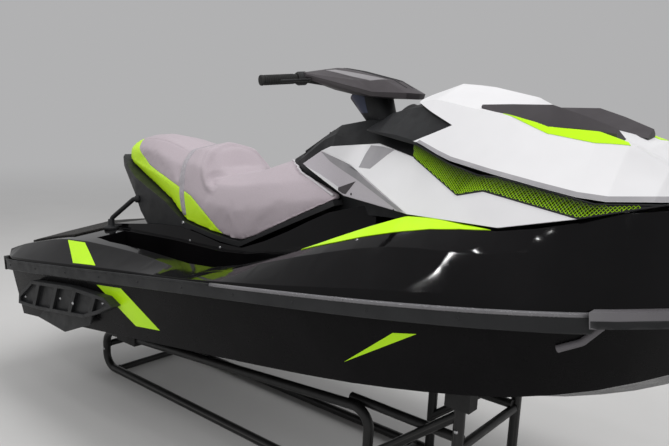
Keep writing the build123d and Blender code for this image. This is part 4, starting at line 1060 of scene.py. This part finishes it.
def handle_feet():
    """Clamps and flanges where the grab handles meet the deck and the seat's base."""
    bm = bmesh.new()
    for sign in (1, -1):
        foot = craft(552, sign * 275, 588)
        up = along(0.05, -0.06 * sign, 1)
        turned(bm, [(0.0, -0.012), (0.034, -0.012), (0.034, -0.001), (0.031, 0.003), (0.019, 0.006),
                    (0.0165, 0.010), (0.0155, 0.034), (0.0145, 0.037), (0.0112, 0.037)], foot, up, 28)
        a, b = axes_across(up)
        for turn in (0.4, 2.5, 4.6):
            head(bm, foot + (a * cos(turn) + b * sin(turn)) * 0.025 + up * 0.004, up, 0.0036)
        top = craft(682, sign * 205, 716)
        run = along(-48, 40 * sign, 0)
        turned(bm, [(0.0112, 0.010), (0.0160, 0.008), (0.0175, 0.0), (0.0175, -0.012)], top, run, 24)
    new_piece("handle_feet", bm, "plastic_dark")


handle_feet()


def stand_details():
    """End caps, weld beads and bolts of the stand."""
    caps = bmesh.new()
    welds = bmesh.new()
    bolts = bmesh.new()
    upright = Vector((0, 0, 1))
    for sign in (1, -1):
        y = sign * 0.222
        rear, leg, post = 0.330 - MIDDLE, 2.022 - MIDDLE, 2.376 - MIDDLE
        turned(caps, [(0.0, 0.0), (0.0215, 0.0), (0.0225, 0.003), (0.0215, 0.008), (0.0194, 0.010)],
               Vector((post, y, 0.0)), upright, 24)
        turned(welds, [(0.0188, -0.003), (0.0212, -0.001), (0.0206, 0.002), (0.0188, 0.004)],
               Vector((leg, y, 0.036)), upright, 24)
        for x, z in ((rear + 0.09, 0.019), (rear, 0.132), (leg - 0.06, 0.019), (post, 0.33)):
            turned(welds, [(0.0158, 0.003), (0.0178, 0.0005), (0.0186, -0.003)],
                   Vector((x, y - sign * 0.020, z)), Vector((0, -sign, 0)), 24)
        for x, z in ((post, 0.30), (post, 0.40), (leg, 0.09), (rear, 0.11)):
            head(bolts, Vector((x, y + sign * 0.0185, z)), Vector((0, sign, 0)), 0.006)
    new_piece("stand_caps", caps, "rubber_black")
    new_piece("stand_welds", welds, "powder_black")
    new_piece("stand_bolts", bolts, "steel_bright")


stand_details()


def pump_bolts():
    """Bolts round the pump's flange."""
    bm = bmesh.new()
    way = along(-1, 0, 0)
    for k in range(8):
        turn = 2 * pi * (k + 0.5) / 8
        head(bm, craft(628, 104 * cos(turn), 128 + 104 * sin(turn)), way, 0.005)
    new_piece("pump_bolts", bm, "steel_bright")


pump_bolts()


# Stage
BACKDROP = (0.44, 0.44, 0.445)
FLOOR_REACH = 60
# Between these distances, in metres, the camera sees the floor go over to the backdrop
FLOOR_FADE = (3.0, 12.0)


def stage_floor():
    mesh = bpy.data.meshes.new("floor")
    corners = [(x * FLOOR_REACH, y * FLOOR_REACH, 0) for x, y in ((-1, -1), (1, -1), (1, 1), (-1, 1))]
    mesh.from_pydata(corners, [], [(0, 1, 2, 3)])
    floor = bpy.data.objects.new("floor", mesh)
    bpy.context.scene.collection.objects.link(floor)
    s = Shader("floor_pale")
    s.colour(s.noise(0.9, 4), (0.56, 0.555, 0.55), (0.60, 0.595, 0.59))
    s.rough(s.noise(3, 4), 0.6, 0.75)
    far = s.node("ShaderNodeVectorMath", operation="LENGTH")
    s.link(s.place, far.inputs[0])
    share = s.node("ShaderNodeMath", operation="MULTIPLY")
    s.link(s.remap(far.outputs["Value"], 0.0, 1.0, FLOOR_FADE, "SMOOTHSTEP"), share.inputs[0])
    s.link(s.node("ShaderNodeLightPath").outputs["Is Camera Ray"], share.inputs[1])
    shine = s.node("ShaderNodeEmission")
    shine.inputs["Color"].default_value = (*BACKDROP, 1)
    mix = s.node("ShaderNodeMixShader")
    s.link(share.outputs["Value"], mix.inputs["Fac"])
    s.link(s.bsdf.outputs["BSDF"], mix.inputs[1])
    s.link(shine.outputs["Emission"], mix.inputs[2])
    s.link(mix.outputs["Shader"], s.tree.nodes["Material Output"].inputs["Surface"])
    mesh.materials.append(s.mat)


def lamp(name, place, target, size, power, shape=(1.0, 1.0), mirrored=True):
    data = bpy.data.lights.new(name, "AREA")
    data.shape = "RECTANGLE"
    data.size = size * shape[0]
    data.size_y = size * shape[1]
    data.energy = power
    obj = bpy.data.objects.new(name, data)
    obj.location = place
    obj.rotation_mode = "QUATERNION"
    obj.rotation_quaternion = (Vector(target) - Vector(place)).to_track_quat("-Z", "Y")
    obj.visible_glossy = mirrored
    bpy.context.scene.collection.objects.link(obj)


def world_light(strength):
    """Even light, and a pale backdrop for the camera and in reflections."""
    world = bpy.data.worlds.new("studio")
    bpy.context.scene.world = world
    world.use_nodes = True
    tree = world.node_tree
    tree.nodes.clear()
    path = tree.nodes.new("ShaderNodeLightPath")

    light = tree.nodes.new("ShaderNodeBackground")
    light.inputs["Strength"].default_value = strength
    light.inputs["Color"].default_value = (1, 1, 1, 1)
    light = light.outputs["Background"]
    for ray in ("Is Camera Ray", "Is Glossy Ray", "Is Transmission Ray"):
        shown = tree.nodes.new("ShaderNodeBackground")
        shown.inputs["Color"].default_value = (*BACKDROP, 1)
        mix = tree.nodes.new("ShaderNodeMixShader")
        tree.links.new(path.outputs[ray], mix.inputs["Fac"])
        tree.links.new(light, mix.inputs[1])
        tree.links.new(shown.outputs["Background"], mix.inputs[2])
        light = mix.outputs["Shader"]
    out = tree.nodes.new("ShaderNodeOutputWorld")
    tree.links.new(light, out.inputs["Surface"])


def make_camera():
    """The camera of the photograph: place, heading, tilt and roll found from the craft's known sizes."""
    turn, tilt, roll = radians(39.2), radians(10.2), radians(2.73)
    focal_px, image_w = 668.0, 669.0
    ahead = Vector((-sin(turn) * cos(tilt), cos(turn) * cos(tilt), -sin(tilt)))
    right = Vector((cos(turn), sin(turn), 0))
    up = right.cross(ahead)
    right, up = cos(roll) * right + sin(roll) * up, cos(roll) * up - sin(roll) * right
    data = bpy.data.cameras.new("camera")
    data.sensor_width = 36.0
    data.lens = focal_px * data.sensor_width / image_w
    camera = bpy.data.objects.new("camera", data)
    bpy.context.scene.collection.objects.link(camera)
    camera.matrix_world = Matrix((
        (right.x, up.x, -ahead.x, 3.311 - MIDDLE),
        (right.y, up.y, -ahead.y, -2.052),
        (right.z, up.z, -ahead.z, 1.421),
        (0, 0, 0, 1)))
    bpy.context.scene.camera = camera


stage_floor()
world_light(0.46)
lamp("key", (2.4, -4.4, 4.4), (0.2, 0, 0.5), 2.6, 95, mirrored=False)
lamp("fill", (-4.5, -2.4, 3.0), (-0.6, 0, 0.5), 2.6, 30, mirrored=False)
lamp("rim", (1.5, 4.8, 3.4), (0.2, 0, 0.7), 2.6, 80, mirrored=False)
lamp("top", (-0.2, 0.4, 5.2), (0, 0, 0), 1.8, 100, (1.8, 0.5), mirrored=False)
# Rows of small hall lamps, which show as highlights
for row, (y, z) in enumerate(((-3.4, 4.2), (-1.6, 5.0), (1.4, 5.0))):
    for k in range(5):
        x = -3.6 + 1.8 * k
        lamp("hall_%d_%d" % (row, k), (x, y, z), (x * 0.5, 0, 0.4), 0.035, 3.0, (2.4, 1.0))
make_camera()
bpy.context.scene.view_settings.view_transform = "Standard"
